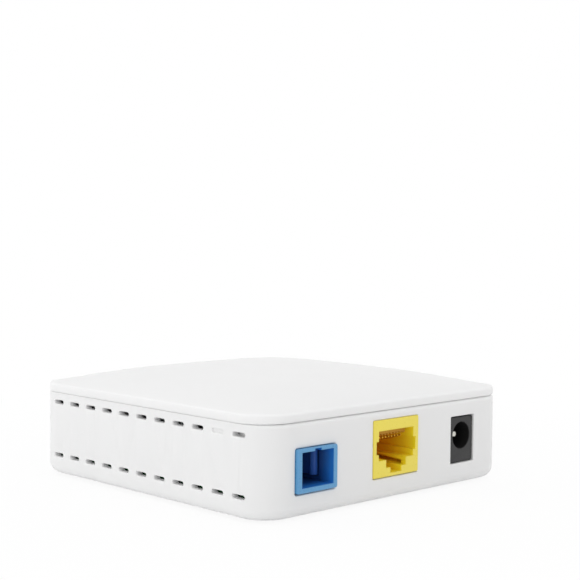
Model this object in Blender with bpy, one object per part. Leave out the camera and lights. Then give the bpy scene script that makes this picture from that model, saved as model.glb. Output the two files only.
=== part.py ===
"""Optical network terminal: a small square fibre terminal with a crowned lid.

The origin is the centre of the base, on the surface that the feet stand on. The ports face -Y,
the vent slots are in the -X and +X walls, and the status lights and the reset hole are in the +Y wall.
"""
import bpy
import bmesh
from math import cos, pi, radians, sin
from mathutils import Matrix, Vector

# All sizes are in millimetres, and MM turns them into metres
MM = 0.001

# Fits
SEAT_GAP = 0.3
PORT_CLEARANCE = 0.3
HOLE_CLEARANCE = 0.3

# Case
CASE_SIDE = 82.0
CORNER_RADIUS = 7.75
WALL = 1.8
FLOOR = 1.8
BOTTOM_ROUND = 2.6
SEAM_GAP = 0.3
PORT_HEADROOM = 1.95

# Feet
FOOT_RADIUS = 4.0
FOOT_PROUD = 0.5
FOOT_RECESS = 0.9
FOOT_INSET = 11.0

# Lid
LID_SKIRT = 1.2
LID_EDGE_WIDTH = 0.7
LID_EDGE_RISE = 0.65
LID_CROWN = 4.0
LID_CROWN_POWER = 4
LID_WALL = 1.6
LIP_CLEARANCE = 0.3
LIP_THICK = 1.2
TONGUE_CLEARANCE = 0.4
TONGUE_THICK = 1.3
TONGUE_LENGTH = 5.0
SIDE_TONGUE_WIDTH = 9.7
SIDE_TONGUE_OVERRUN = 1.0
BACK_TONGUE_WIDTH = 8.0
BACK_TONGUE_INSET = 15.0
FRONT_TONGUE_WIDTH = 6.0

# Vent slots
VENT_PITCH = 6.52
VENT_LENGTH = 3.8
VENT_HEIGHT = 1.0
VENT_ROUND = 0.45
VENT_MARGIN = 7.65
VENT_LOW_RISE = 4.9
VENT_HIGH_DROP = 2.3
CLOSED_VENT = 1
CLOSED_VENT_DEPTH = 0.4

# Circuit board
BOARD_THICK = 1.6
BOARD_STANDOFF = 1.6
BOARD_CLEARANCE = 0.4
BOSS_RADIUS = 2.6

# Board screws
SCREW_INSET = 5.5
SCREW_RADIUS = 1.0
SCREW_LENGTH = 3.4
SCREW_HEAD_RADIUS = 2.1
SCREW_HEAD_HEIGHT = 1.4
SCREW_CROSS_REACH = 1.3
SCREW_CROSS_WIDTH = 0.5
SCREW_CROSS_DEPTH = 0.7

# Fibre socket
FIBRE_INSET = 15.2
FIBRE_WIDTH = 11.9
FIBRE_HEIGHT = 9.4
FIBRE_DEPTH = 15.0
FIBRE_PROUD = 0.8
FIBRE_ROUND = 0.4
FIBRE_MOUTH_WIDTH = 9.4
FIBRE_MOUTH_HEIGHT = 7.5
FIBRE_MOUTH_RISE = 1.1
FIBRE_KEY_WIDTH = 1.9
FIBRE_KEY_HEIGHT = 0.5
FIBRE_SIDE_WALL = 0.7
FIBRE_BACK_WALL = 1.8
LATCH_TIP_DEPTH = 4.8
LATCH_THICK = 0.8
LATCH_INNER_X = 3.85
LATCH_HOOK = 0.5
LATCH_HOOK_LENGTH = 1.2
LATCH_BOTTOM_RISE = 1.1
LATCH_TOP_DROP = 0.4
HOLDER_THICK = 1.2
SLEEVE_RADIUS = 1.95
SLEEVE_BORE_RADIUS = 1.25
SLEEVE_TIP_DEPTH = 7.2

# Two-way optical unit behind the fibre socket
OPTICS_SIDE = 6.4
OPTICS_LENGTH = 7.0
CAN_FLANGE_RADIUS = 2.7
CAN_RADIUS = 2.2
CAN_FLANGE_THICK = 1.0
LASER_CAN_LENGTH = 3.8
PHOTODIODE_CAN_LENGTH = 3.2

# Network jack
LAN_X = -0.15
LAN_WIDTH = 15.2
LAN_HEIGHT = 12.9
LAN_DEPTH = 16.0
LAN_PROUD = 0.2
LAN_MOUTH_WIDTH = 11.7
LAN_MOUTH_TOP = 10.4
LAN_MOUTH_BOTTOM = 3.8
LAN_MOUTH_DEPTH = 12.5
LAN_NOTCH_WIDTH = 13.2
LAN_NOTCH_TOP = 8.1
LAN_NOTCH_BOTTOM = 5.2
LAN_TAB_WIDTH = 6.7
LAN_TAB_BOTTOM = 2.0
LAN_SLOT_WIDTH = 3.7
LAN_SLOT_BOTTOM = 0.75
CARRIER_WIDTH = 9.4
CARRIER_LENGTH = 9.0
CARRIER_THICK = 1.0
CARRIER_SETBACK = 1.6
CONTACT_COUNT = 8
CONTACT_PITCH = 1.02
CONTACT_RADIUS = 0.2
CONTACT_RUN = 5.4
CONTACT_DROP = 1.5
CONTACT_TAIL = 0.8

# Power socket
DC_INSET = 17.0
DC_WIDTH = 8.6
DC_HEIGHT = 10.9
DC_DEPTH = 13.2
DC_RECESS = 0.4
DC_HOLE_RADIUS = 3.2
DC_HOLE_RISE = 6.4
DC_HOLE_DEPTH = 9.7
DC_PIN_RADIUS = 1.0
DC_PIN_SETBACK = 1.7
DC_PIN_TAIL = 0.6
DC_LEAF_WIDTH = 2.4
DC_LEAF_THICK = 0.4
DC_LEAF_LENGTH = 6.6
DC_LEAF_TILT = 5.0
DC_LEAF_POCKET = 1.1
DC_LEAF_POCKET_END = 0.8
DC_LEAF_POCKET_TOP = 0.8

# Status lights and their light guide
LED_COUNT = 4
LED_PITCH = 8.0
LED_ROW_TO_RESET = 27.0
LED_SETBACK = 4.2
LED_LENGTH = 2.0
LED_WIDTH = 1.25
LED_HEIGHT = 0.8
GUIDE_RISE = 3.7
GUIDE_RADIUS = 1.0
GUIDE_LEG = 2.4
GUIDE_BAR = 1.4
GUIDE_POST = 1.8
GUIDE_POST_OFFSET = 3.4
GUIDE_PROUD = 0.8

# Reset switch
RESET_INSET = 20.0
RESET_WIDTH = 6.0
RESET_DEPTH = 3.6
RESET_HEIGHT = 3.8
RESET_SETBACK = 2.0
PLUNGER_RADIUS = 1.0
PLUNGER_OUT = 1.2
PLUNGER_IN = 0.9
PLUNGER_TRAVEL = 0.25
RESET_HOLE_RADIUS = 1.0

# Board parts behind the network jack and the power socket
TRANSFORMER_WIDTH = 12.7
TRANSFORMER_DEPTH = 7.2
TRANSFORMER_HEIGHT = 5.2
TRANSFORMER_GAP = 2.4
CAPACITOR_RADIUS = 3.15
CAPACITOR_HEIGHT = 7.7
CAPACITOR_SPREAD = 4.6
CAPACITOR_GAP = 2.8
INDUCTOR_SIDE = 6.6
INDUCTOR_HEIGHT = 3.0
INDUCTOR_CORNER = 1.5
CONVERTER_LENGTH = 4.9
CONVERTER_WIDTH = 3.9
CONVERTER_HEIGHT = 1.5
POWER_ROW_GAP = 2.0

# Board parts in the middle
PROCESSOR_X = 3.0
PROCESSOR_Y = 6.0
PROCESSOR_SIDE = 14.0
PROCESSOR_HEIGHT = 1.3
FLASH_X = 21.0
FLASH_Y = 8.0
FLASH_LENGTH = 5.2
FLASH_WIDTH = 5.2
FLASH_HEIGHT = 1.7
CRYSTAL_X = -14.0
CRYSTAL_Y = 9.0
CRYSTAL_LENGTH = 11.0
CRYSTAL_WIDTH = 4.6
CRYSTAL_HEIGHT = 3.4
CRYSTAL_END_ROUND = 2.2
CRYSTAL_TOP_ROUND = 0.4
DRIVER_X = -14.5
DRIVER_Y = -11.0
DRIVER_SIDE = 5.0
DRIVER_HEIGHT = 0.9

# Smoothness
CORNER_STEPS = 8
ROUND_STEPS = 3
EDGE_STEPS = 6
CROWN_RINGS = 6
CIRCLE_STEPS = 24
SMALL_STEPS = 16
OVERCUT = 1.0

# Planes and levels that follow from the sizes
FRONT = -CASE_SIDE / 2
BACK = CASE_SIDE / 2
FIBRE_X = -CASE_SIDE / 2 + FIBRE_INSET
DC_X = CASE_SIDE / 2 - DC_INSET
RESET_X = CASE_SIDE / 2 - RESET_INSET
LED_ROW_X = RESET_X - LED_ROW_TO_RESET
CASE_BOTTOM = FOOT_PROUD
FLOOR_TOP = CASE_BOTTOM + FLOOR
BOARD_BOTTOM = FLOOR_TOP + BOARD_STANDOFF
BOARD_TOP = BOARD_BOTTOM + BOARD_THICK
PARTS_SEAT = BOARD_TOP + SEAT_GAP
LAN_TOP = PARTS_SEAT + LAN_HEIGHT
SEAM_Z = LAN_TOP + PORT_HEADROOM
BOARD_SIDE = CASE_SIDE - 2 * (WALL + BOARD_CLEARANCE)
FIBRE_FRONT = FRONT - FIBRE_PROUD
FIBRE_REAR = FIBRE_FRONT + FIBRE_DEPTH
LAN_FRONT = FRONT - LAN_PROUD
LAN_REAR = LAN_FRONT + LAN_DEPTH
DC_FRONT = FRONT + DC_RECESS
DC_REAR = DC_FRONT + DC_DEPTH
FIBRE_AXIS_Z = PARTS_SEAT + FIBRE_MOUTH_RISE + FIBRE_MOUTH_HEIGHT / 2
DC_AXIS_Z = PARTS_SEAT + DC_HOLE_RISE
LED_Y = BACK - WALL - LED_SETBACK
GUIDE_Z = PARTS_SEAT + GUIDE_RISE
RESET_FACE = BACK - WALL - RESET_SETBACK
RESET_Z = PARTS_SEAT + RESET_HEIGHT / 2


# Scene, collections and materials

for old in list(bpy.data.objects):
    bpy.data.objects.remove(old, do_unlink=True)


def new_collection(name):
    collection = bpy.data.collections.new(name)
    bpy.context.scene.collection.children.link(collection)
    return collection


PARTS = new_collection("optical_network_terminal")
CUTTERS = new_collection("cutters")

TERMINAL = bpy.data.objects.new("terminal", None)
PARTS.objects.link(TERMINAL)


def new_material(name, colour, roughness, metallic=0.0):
    material = bpy.data.materials.new(name)
    material.use_nodes = True
    shader = material.node_tree.nodes["Principled BSDF"]
    shader.inputs["Base Color"].default_value = (*colour, 1.0)
    shader.inputs["Roughness"].default_value = roughness
    shader.inputs["Metallic"].default_value = metallic
    return material


WHITE_ABS = new_material("white ABS", (0.84, 0.84, 0.83), 0.45)
LID_ABS = new_material("white lid ABS", (0.86, 0.86, 0.85), 0.4)
RUBBER = new_material("grey rubber", (0.10, 0.10, 0.10), 0.85)
BOARD_GREEN = new_material("solder mask", (0.02, 0.16, 0.07), 0.4)
ZINC = new_material("zinc plated steel", (0.62, 0.63, 0.64), 0.35, 1.0)
BLUE_PBT = new_material("blue PBT", (0.10, 0.33, 0.62), 0.4)
DEEP_BLUE = new_material("deep blue PBT", (0.04, 0.13, 0.36), 0.45)
CERAMIC = new_material("zirconia", (0.88, 0.86, 0.80), 0.25)
NICKEL = new_material("nickel plate", (0.66, 0.63, 0.58), 0.3, 1.0)
YELLOW_PBT = new_material("yellow PBT", (0.77, 0.62, 0.07), 0.4)
GOLD = new_material("gold plate", (0.83, 0.58, 0.22), 0.25, 1.0)
DARK_NYLON = new_material("dark nylon", (0.06, 0.06, 0.06), 0.55)
CLEAR_PC = new_material("clear polycarbonate", (0.85, 0.88, 0.90), 0.15)
LED_RESIN = new_material("LED resin", (0.80, 0.78, 0.55), 0.3)
CHIP_RESIN = new_material("moulded epoxy", (0.025, 0.025, 0.028), 0.6)
FERRITE = new_material("ferrite", (0.07, 0.07, 0.08), 0.7)
ALUMINIUM = new_material("aluminium sleeve", (0.70, 0.71, 0.73), 0.35, 1.0)


# Shapes, in millimetres

def box(low, high):
    """A box between two corners."""
    bm = bmesh.new()
    bmesh.ops.create_cube(bm, size=1.0)
    low = Vector(low)
    high = Vector(high)
    bmesh.ops.scale(bm, vec=high - low, verts=bm.verts)
    bmesh.ops.translate(bm, vec=(low + high) / 2, verts=bm.verts)
    return bm


def centred_box(width, depth, x, y, bottom, height):
    return box((x - width / 2, y - depth / 2, bottom), (x + width / 2, y + depth / 2, bottom + height))


def bevel(bm, edges, radius, steps):
    bmesh.ops.bevel(bm, geom=list(edges), offset=radius, offset_type="OFFSET", segments=steps, profile=0.5,
                    affect="EDGES", clamp_overlap=True)
    return bm


def edges_along(bm, axis):
    """The edges of a box that run along one axis (0, 1 or 2)."""
    found = []
    for edge in bm.edges:
        run = edge.verts[1].co - edge.verts[0].co
        if abs(abs(run[axis]) - run.length) < 1e-6:
            found.append(edge)
    return found


def edges_at_height(bm, z):
    return [edge for edge in bm.edges if all(abs(vert.co.z - z) < 1e-5 for vert in edge.verts)]


def rounded_square(side, radius, bottom, top, steps=CORNER_STEPS):
    bm = box((-side / 2, -side / 2, bottom), (side / 2, side / 2, top))
    return bevel(bm, edges_along(bm, 2), radius, steps)


def cylinder(radius, start, end, steps=CIRCLE_STEPS):
    """A cylinder between the centres of its two ends."""
    start = Vector(start)
    end = Vector(end)
    run = end - start
    bm = bmesh.new()
    bmesh.ops.create_cone(bm, cap_ends=True, segments=steps, radius1=radius, radius2=radius, depth=run.length)
    turn = Vector((0, 0, 1)).rotation_difference(run).to_matrix().to_4x4()
    bmesh.ops.transform(bm, matrix=Matrix.Translation((start + end) / 2) @ turn, verts=bm.verts)
    return bm


def posts(places, radius, bottom, top, steps=CIRCLE_STEPS):
    """Upright cylinders at several places, as one mesh."""
    return gather([cylinder(radius, (x, y, bottom), (x, y, top), steps) for x, y in places])


def prism(outline, start_y, end_y):
    """An outline of (x, z) points, extruded along Y."""
    bm = bmesh.new()
    face = bm.faces.new([bm.verts.new((x, start_y, z)) for x, z in outline])
    extruded = bmesh.ops.extrude_face_region(bm, geom=[face])
    verts = [item for item in extruded["geom"] if isinstance(item, bmesh.types.BMVert)]
    bmesh.ops.translate(bm, vec=(0, end_y - start_y, 0), verts=verts)
    bmesh.ops.recalc_face_normals(bm, faces=bm.faces)
    return bm


def gather(shapes):
    """Several shapes that don't touch, as one mesh."""
    whole = bmesh.new()
    for shape in shapes:
        mesh = bpy.data.meshes.new("piece")
        shape.to_mesh(mesh)
        shape.free()
        whole.from_mesh(mesh)
        bpy.data.meshes.remove(mesh)
    return whole


# Objects

def new_object(name, bm, collection, origin=(0.0, 0.0, 0.0)):
    origin = Vector(origin)
    bmesh.ops.translate(bm, vec=-origin, verts=bm.verts)
    bmesh.ops.scale(bm, vec=(MM, MM, MM), verts=bm.verts)
    mesh = bpy.data.meshes.new(name)
    bm.to_mesh(mesh)
    bm.free()
    mesh.shade_smooth()
    mesh.set_sharp_from_angle(angle=radians(35))
    obj = bpy.data.objects.new(name, mesh)
    obj.location = origin * MM
    collection.objects.link(obj)
    return obj


def part(name, bm, material, origin=(0.0, 0.0, 0.0), parent=TERMINAL):
    """A piece of the terminal, with its origin on its joint's axis where it moves."""
    obj = new_object(name, bm, PARTS, origin)
    obj.data.materials.append(material)
    obj.parent = parent
    obj.location = obj.location - parent.location
    return obj


def combine(target, name, bm, operation):
    tool = new_object(name, bm, CUTTERS)
    tool.hide_render = True
    tool.display_type = "WIRE"
    modifier = target.modifiers.new(name, "BOOLEAN")
    modifier.operation = operation
    modifier.solver = "EXACT"
    modifier.object = tool


def cut(target, name, bm):
    combine(target, target.name + "_" + name, bm, "DIFFERENCE")


def add(target, name, bm):
    combine(target, target.name + "_" + name, bm, "UNION")


# Places that several pieces share

def corners(inset):
    """Four points, each at the same inset from two walls of the case."""
    reach = CASE_SIDE / 2 - inset
    return [(sx * reach, sy * reach) for sx in (-1, 1) for sy in (-1, 1)]


def screw_places():
    """Three board corners, and the space between the fibre socket and the network jack."""
    reach = BOARD_SIDE / 2 - SCREW_INSET
    fibre_side = FIBRE_X + FIBRE_WIDTH / 2
    lan_side = LAN_X - LAN_WIDTH / 2
    return [(-reach, reach), (reach, reach), (reach, -reach), ((fibre_side + lan_side) / 2, -reach)]


def vent_places():
    count = int((CASE_SIDE - 2 * VENT_MARGIN) / VENT_PITCH) + 1
    return [FRONT + VENT_MARGIN + VENT_PITCH * index for index in range(count)]


def led_places():
    first = LED_ROW_X - LED_PITCH * (LED_COUNT - 1) / 2
    return [first + LED_PITCH * index for index in range(LED_COUNT)]


# Bottom housing

def vent_slot(y, z, start, end):
    """One round-ended slot, from one x to another."""
    half = VENT_LENGTH / 2
    rise = VENT_HEIGHT / 2
    bm = box((start, y - half, z - rise), (end, y + half, z + rise))
    return bevel(bm, edges_along(bm, 0), VENT_ROUND, ROUND_STEPS)


def vent_slots():
    """Slots that open both side walls. One in the upper row is only a shallow mark in each wall."""
    outside = CASE_SIDE / 2 + OVERCUT
    inside = CASE_SIDE / 2 - CLOSED_VENT_DEPTH
    upper = SEAM_Z - VENT_HIGH_DROP
    slots = []
    for z in (CASE_BOTTOM + VENT_LOW_RISE, upper):
        for index, y in enumerate(vent_places()):
            if z == upper and index == CLOSED_VENT:
                slots.append(vent_slot(y, z, -outside, -inside))
                slots.append(vent_slot(y, z, inside, outside))
            else:
                slots.append(vent_slot(y, z, -outside, outside))
    return slots


def port_hole(x, width, bottom, height):
    """An opening for a socket, through the front wall."""
    gap = PORT_CLEARANCE
    return box((x - width / 2 - gap, FRONT - OVERCUT, bottom - gap),
               (x + width / 2 + gap, FRONT + WALL + OVERCUT, bottom + height + gap))


def back_hole(x, z, radius):
    """A round hole through the back wall."""
    return cylinder(radius, (x, BACK - WALL - OVERCUT, z), (x, BACK + OVERCUT, z), SMALL_STEPS)


def make_bottom_housing():
    top = SEAM_Z - SEAM_GAP / 2
    shell = rounded_square(CASE_SIDE, CORNER_RADIUS, CASE_BOTTOM, top)
    bevel(shell, edges_at_height(shell, CASE_BOTTOM), BOTTOM_ROUND, ROUND_STEPS)
    housing = part("bottom_housing", shell, WHITE_ABS)

    inside = rounded_square(CASE_SIDE - 2 * WALL, CORNER_RADIUS - WALL, FLOOR_TOP, top + OVERCUT)
    bevel(inside, edges_at_height(inside, FLOOR_TOP), max(BOTTOM_ROUND - WALL, 0.3), 2)
    cut(housing, "inside", inside)

    boss_top = BOARD_BOTTOM - SEAT_GAP
    boss_root = FLOOR_TOP - FLOOR / 3
    pilot_radius = SCREW_RADIUS + HOLE_CLEARANCE
    pilot_end = PARTS_SEAT - SCREW_LENGTH - SEAT_GAP
    add(housing, "bosses", posts(screw_places(), BOSS_RADIUS, boss_root, boss_top, SMALL_STEPS))
    pilot_start = boss_top + OVERCUT
    cut(housing, "pilot_holes", posts(screw_places(), pilot_radius, pilot_end, pilot_start, SMALL_STEPS))

    seat_radius = FOOT_RADIUS + HOLE_CLEARANCE
    seat_top = CASE_BOTTOM + FOOT_RECESS
    cut(housing, "foot_seats", posts(corners(FOOT_INSET), seat_radius, CASE_BOTTOM - OVERCUT, seat_top))

    cut(housing, "vents", gather(vent_slots()))

    cut(housing, "ports", gather([port_hole(FIBRE_X, FIBRE_WIDTH, PARTS_SEAT, FIBRE_HEIGHT),
                                  port_hole(LAN_X, LAN_WIDTH, PARTS_SEAT, LAN_HEIGHT),
                                  port_hole(DC_X, DC_WIDTH, PARTS_SEAT, DC_HEIGHT)]))

    light_radius = GUIDE_RADIUS + HOLE_CLEARANCE
    holes = [back_hole(x, GUIDE_Z, light_radius) for x in led_places()]
    holes.append(back_hole(RESET_X, RESET_Z, RESET_HOLE_RADIUS))
    cut(housing, "back_holes", gather(holes))


# Lid

def outline_points(side, radius):
    """A square with round corners, with extra points along its straight edges."""
    reach = side / 2 - radius
    points = []
    for quarter in range(4):
        start = quarter * pi / 2
        centre = (reach * (cos(start) - sin(start)), reach * (cos(start) + sin(start)))
        for step in range(CORNER_STEPS + 1):
            angle = start + pi / 2 * step / CORNER_STEPS
            points.append((centre[0] + radius * cos(angle), centre[1] + radius * sin(angle)))
        last = points[-1]
        along = (-cos(start), -sin(start))
        for step in range(1, EDGE_STEPS):
            run = 2 * reach * step / EDGE_STEPS
            points.append((last[0] + along[0] * run, last[1] + along[1] * run))
    return points


def crown(x, y):
    """The rise of the lid's pillow shape over its rim."""
    half = CASE_SIDE / 2
    return LID_CROWN * (1 - abs(x / half) ** LID_CROWN_POWER) * (1 - abs(y / half) ** LID_CROWN_POWER)


def dome(side, radius, bottom, shoulder):
    """A closed block with a square outline, a round upper edge and a crowned top."""
    bm = bmesh.new()
    face = bm.faces.new([bm.verts.new((x, y, bottom)) for x, y in outline_points(side, radius)])
    extruded = bmesh.ops.extrude_face_region(bm, geom=[face])
    top = [item for item in extruded["geom"] if isinstance(item, bmesh.types.BMFace)][0]
    for vert in top.verts:
        vert.co.z = shoulder

    rings = []
    for step in range(1, ROUND_STEPS + 1):
        angle = pi / 2 * step / ROUND_STEPS
        rings.append((LID_EDGE_WIDTH * (1 - cos(angle)), LID_EDGE_RISE * sin(angle)))
    span = side / 2 - LID_EDGE_WIDTH
    for step in range(1, CROWN_RINGS):
        rings.append((LID_EDGE_WIDTH + span * step / CROWN_RINGS, LID_EDGE_RISE))
    size = 1.0
    for inset, rise in rings:
        top = bmesh.ops.extrude_discrete_faces(bm, faces=[top])["faces"][0]
        ratio = (1 - 2 * inset / side) / size
        size = size * ratio
        for vert in top.verts:
            vert.co.x *= ratio
            vert.co.y *= ratio
            vert.co.z = shoulder + rise + crown(vert.co.x, vert.co.y)
    bmesh.ops.recalc_face_normals(bm, faces=bm.faces)
    return bm


def tongue(x, y, width, along_x):
    """A lid tongue that slides down inside a wall; x and y are the middle of its outer face."""
    bottom = SEAM_Z - TONGUE_LENGTH
    top = SEAM_Z + LID_SKIRT
    if along_x:
        inner = y - TONGUE_THICK if y > 0 else y + TONGUE_THICK
        return box((x - width / 2, min(y, inner), bottom), (x + width / 2, max(y, inner), top))
    inner = x - TONGUE_THICK if x > 0 else x + TONGUE_THICK
    return box((min(x, inner), y - width / 2, bottom), (max(x, inner), y + width / 2, top))


def make_top_cover():
    bottom = SEAM_Z + SEAM_GAP / 2
    shoulder = bottom + LID_SKIRT
    cover = part("top_cover", dome(CASE_SIDE, CORNER_RADIUS, bottom, shoulder), LID_ABS)

    lip_bottom = LAN_TOP + SEAT_GAP
    lip_inset = WALL + LIP_CLEARANCE
    lip_side = CASE_SIDE - 2 * lip_inset
    add(cover, "lip", rounded_square(lip_side, CORNER_RADIUS - lip_inset, lip_bottom, shoulder))
    hollow_side = lip_side - 2 * LIP_THICK
    hollow_radius = CORNER_RADIUS - lip_inset - LIP_THICK
    cut(cover, "hollow", dome(hollow_side, hollow_radius, lip_bottom - OVERCUT, shoulder - LID_WALL))

    wall_face = CASE_SIDE / 2 - WALL - TONGUE_CLEARANCE
    side_y = CASE_SIDE / 2 - CORNER_RADIUS + SIDE_TONGUE_OVERRUN - SIDE_TONGUE_WIDTH / 2
    fibre_side = FIBRE_X + FIBRE_WIDTH / 2
    lan_side = LAN_X - LAN_WIDTH / 2
    tongues = [tongue((fibre_side + lan_side) / 2, -wall_face, FRONT_TONGUE_WIDTH, True)]
    back_x = CASE_SIDE / 2 - BACK_TONGUE_INSET
    for side in (-1, 1):
        tongues.append(tongue(side * back_x, wall_face, BACK_TONGUE_WIDTH, True))
        tongues.append(tongue(side * wall_face, -side_y, SIDE_TONGUE_WIDTH, False))
    add(cover, "tongues", gather(tongues))


# Feet

def make_feet():
    top = CASE_BOTTOM + FOOT_RECESS - SEAT_GAP
    for index, (x, y) in enumerate(corners(FOOT_INSET), start=1):
        foot = cylinder(FOOT_RADIUS, (x, y, 0.0), (x, y, top))
        bevel(foot, edges_at_height(foot, 0.0), FOOT_PROUD / 2, 1)
        part(f"rubber_foot_{index}", foot, RUBBER)


# Circuit board and its screws

def make_board():
    radius = CORNER_RADIUS - WALL - BOARD_CLEARANCE
    board = part("main_board", rounded_square(BOARD_SIDE, radius, BOARD_BOTTOM, BOARD_TOP), BOARD_GREEN)
    hole_radius = SCREW_RADIUS + HOLE_CLEARANCE
    cut(board, "screw_holes", posts(screw_places(), hole_radius, BOARD_BOTTOM - OVERCUT, BOARD_TOP + OVERCUT,
                                    SMALL_STEPS))


def cross_recess(x, y, bottom):
    """A cross-shaped cutter, standing on its lower face."""
    half = SCREW_CROSS_WIDTH / 2
    reach = SCREW_CROSS_REACH
    outline = []
    for turn in range(4):
        angle = turn * pi / 2
        for px, py in ((half, half), (half, reach), (-half, reach)):
            outline.append((px * cos(angle) - py * sin(angle), px * sin(angle) + py * cos(angle)))
    cross = prism(outline, 0.0, -SCREW_CROSS_DEPTH - OVERCUT)
    upright = Matrix.Rotation(-pi / 2, 4, "X")
    bmesh.ops.transform(cross, matrix=Matrix.Translation((x, y, bottom)) @ upright, verts=cross.verts)
    return cross


def make_screws():
    head_top = PARTS_SEAT + SCREW_HEAD_HEIGHT
    shank_top = PARTS_SEAT + SCREW_HEAD_HEIGHT / 4
    tip = PARTS_SEAT - SCREW_LENGTH
    for index, (x, y) in enumerate(screw_places(), start=1):
        head = cylinder(SCREW_HEAD_RADIUS, (x, y, PARTS_SEAT), (x, y, head_top), SMALL_STEPS)
        bevel(head, edges_at_height(head, head_top), SCREW_HEAD_HEIGHT / 3, 1)
        screw = part(f"board_screw_{index}", head, ZINC)
        add(screw, "shank", posts([(x, y)], SCREW_RADIUS, tip, shank_top, SMALL_STEPS))
        cut(screw, "cross", cross_recess(x, y, head_top - SCREW_CROSS_DEPTH))


# Fibre socket

def make_fibre_receptacle():
    left = FIBRE_X - FIBRE_WIDTH / 2
    right = FIBRE_X + FIBRE_WIDTH / 2
    body = box((left, FIBRE_FRONT, PARTS_SEAT), (right, FIBRE_REAR, PARTS_SEAT + FIBRE_HEIGHT))
    bevel(body, edges_along(body, 1), FIBRE_ROUND, ROUND_STEPS)
    receptacle = part("fibre_receptacle", body, BLUE_PBT)

    mouth_bottom = PARTS_SEAT + FIBRE_MOUTH_RISE
    mouth_top = mouth_bottom + FIBRE_MOUTH_HEIGHT
    half = FIBRE_MOUTH_WIDTH / 2
    key = FIBRE_KEY_WIDTH / 2
    key_top = mouth_top + FIBRE_KEY_HEIGHT
    mouth = [(-half, mouth_bottom), (half, mouth_bottom), (half, mouth_top), (key, mouth_top), (key, key_top),
             (-key, key_top), (-key, mouth_top), (-half, mouth_top)]
    back = FIBRE_REAR - FIBRE_BACK_WALL
    cut(receptacle, "mouth", prism([(FIBRE_X + x, z) for x, z in mouth], FIBRE_FRONT - OVERCUT, back))

    pocket_start = FIBRE_FRONT + LATCH_TIP_DEPTH - SEAT_GAP
    wide = FIBRE_WIDTH / 2 - FIBRE_SIDE_WALL
    room_bottom = mouth_bottom + LATCH_BOTTOM_RISE - SEAT_GAP
    room_top = mouth_top - LATCH_TOP_DROP + SEAT_GAP
    room_end = back - SEAT_GAP
    cut(receptacle, "latch_room", box((FIBRE_X - wide, pocket_start, room_bottom),
                                      (FIBRE_X + wide, room_end, room_top)))
    bore = SLEEVE_RADIUS + HOLE_CLEARANCE
    cut(receptacle, "sleeve_hole", cylinder(bore, (FIBRE_X, back - OVERCUT, FIBRE_AXIS_Z),
                                            (FIBRE_X, FIBRE_REAR + OVERCUT, FIBRE_AXIS_Z)))


def make_latch_holder():
    rear = FIBRE_REAR - FIBRE_BACK_WALL - SEAT_GAP
    half_width = FIBRE_MOUTH_WIDTH / 2 - SEAT_GAP
    half_height = FIBRE_MOUTH_HEIGHT / 2 - SEAT_GAP
    plate = box((FIBRE_X - half_width, rear - HOLDER_THICK, FIBRE_AXIS_Z - half_height),
                (FIBRE_X + half_width, rear, FIBRE_AXIS_Z + half_height))
    holder = part("latch_holder", plate, DEEP_BLUE)
    bore = SLEEVE_RADIUS + HOLE_CLEARANCE
    cut(holder, "sleeve_hole", cylinder(bore, (FIBRE_X, rear - HOLDER_THICK - OVERCUT, FIBRE_AXIS_Z),
                                        (FIBRE_X, rear + OVERCUT, FIBRE_AXIS_Z)))


def make_latch_arms():
    """Two arms with hooked tips, each turning about its root at the holder."""
    tip = FIBRE_FRONT + LATCH_TIP_DEPTH
    root = FIBRE_REAR - FIBRE_BACK_WALL - 2 * SEAT_GAP - HOLDER_THICK
    bottom = PARTS_SEAT + FIBRE_MOUTH_RISE + LATCH_BOTTOM_RISE
    top = PARTS_SEAT + FIBRE_MOUTH_RISE + FIBRE_MOUTH_HEIGHT - LATCH_TOP_DROP
    outer = LATCH_INNER_X + LATCH_THICK
    hook = LATCH_INNER_X - LATCH_HOOK
    for side, sign in (("left", -1), ("right", 1)):
        profile = [(LATCH_INNER_X, root), (outer, root), (outer, tip), (LATCH_INNER_X, tip),
                   (hook, tip + LATCH_HOOK_LENGTH / 2), (hook, tip + LATCH_HOOK_LENGTH),
                   (LATCH_INNER_X, tip + LATCH_HOOK_LENGTH)]
        arm = bmesh.new()
        face = arm.faces.new([arm.verts.new((FIBRE_X + sign * x, y, bottom)) for x, y in profile])
        raised = bmesh.ops.extrude_face_region(arm, geom=[face])
        verts = [item for item in raised["geom"] if isinstance(item, bmesh.types.BMVert)]
        bmesh.ops.translate(arm, vec=(0, 0, top - bottom), verts=verts)
        bmesh.ops.recalc_face_normals(arm, faces=arm.faces)
        pivot = (FIBRE_X + sign * (LATCH_INNER_X + LATCH_THICK / 2), root, FIBRE_AXIS_Z)
        part(f"latch_arm_{side}", arm, DEEP_BLUE, pivot)


def make_alignment_sleeve():
    start = FIBRE_FRONT + SLEEVE_TIP_DEPTH
    sleeve = part("alignment_sleeve", cylinder(SLEEVE_RADIUS, (FIBRE_X, start, FIBRE_AXIS_Z),
                                               (FIBRE_X, FIBRE_REAR, FIBRE_AXIS_Z)), CERAMIC)
    cut(sleeve, "bore", cylinder(SLEEVE_BORE_RADIUS, (FIBRE_X, start - OVERCUT, FIBRE_AXIS_Z),
                                 (FIBRE_X, FIBRE_REAR + OVERCUT, FIBRE_AXIS_Z), SMALL_STEPS))


# Optical unit

def can(name, face, direction, length):
    """A metal can on a round flange, its flange towards the optics body."""
    face = Vector(face)
    direction = Vector(direction)
    middle = face + direction * CAN_FLANGE_THICK / 2
    piece = part(name, cylinder(CAN_FLANGE_RADIUS, face, face + direction * CAN_FLANGE_THICK), NICKEL)
    add(piece, "cap", cylinder(CAN_RADIUS, middle, face + direction * length))


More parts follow.
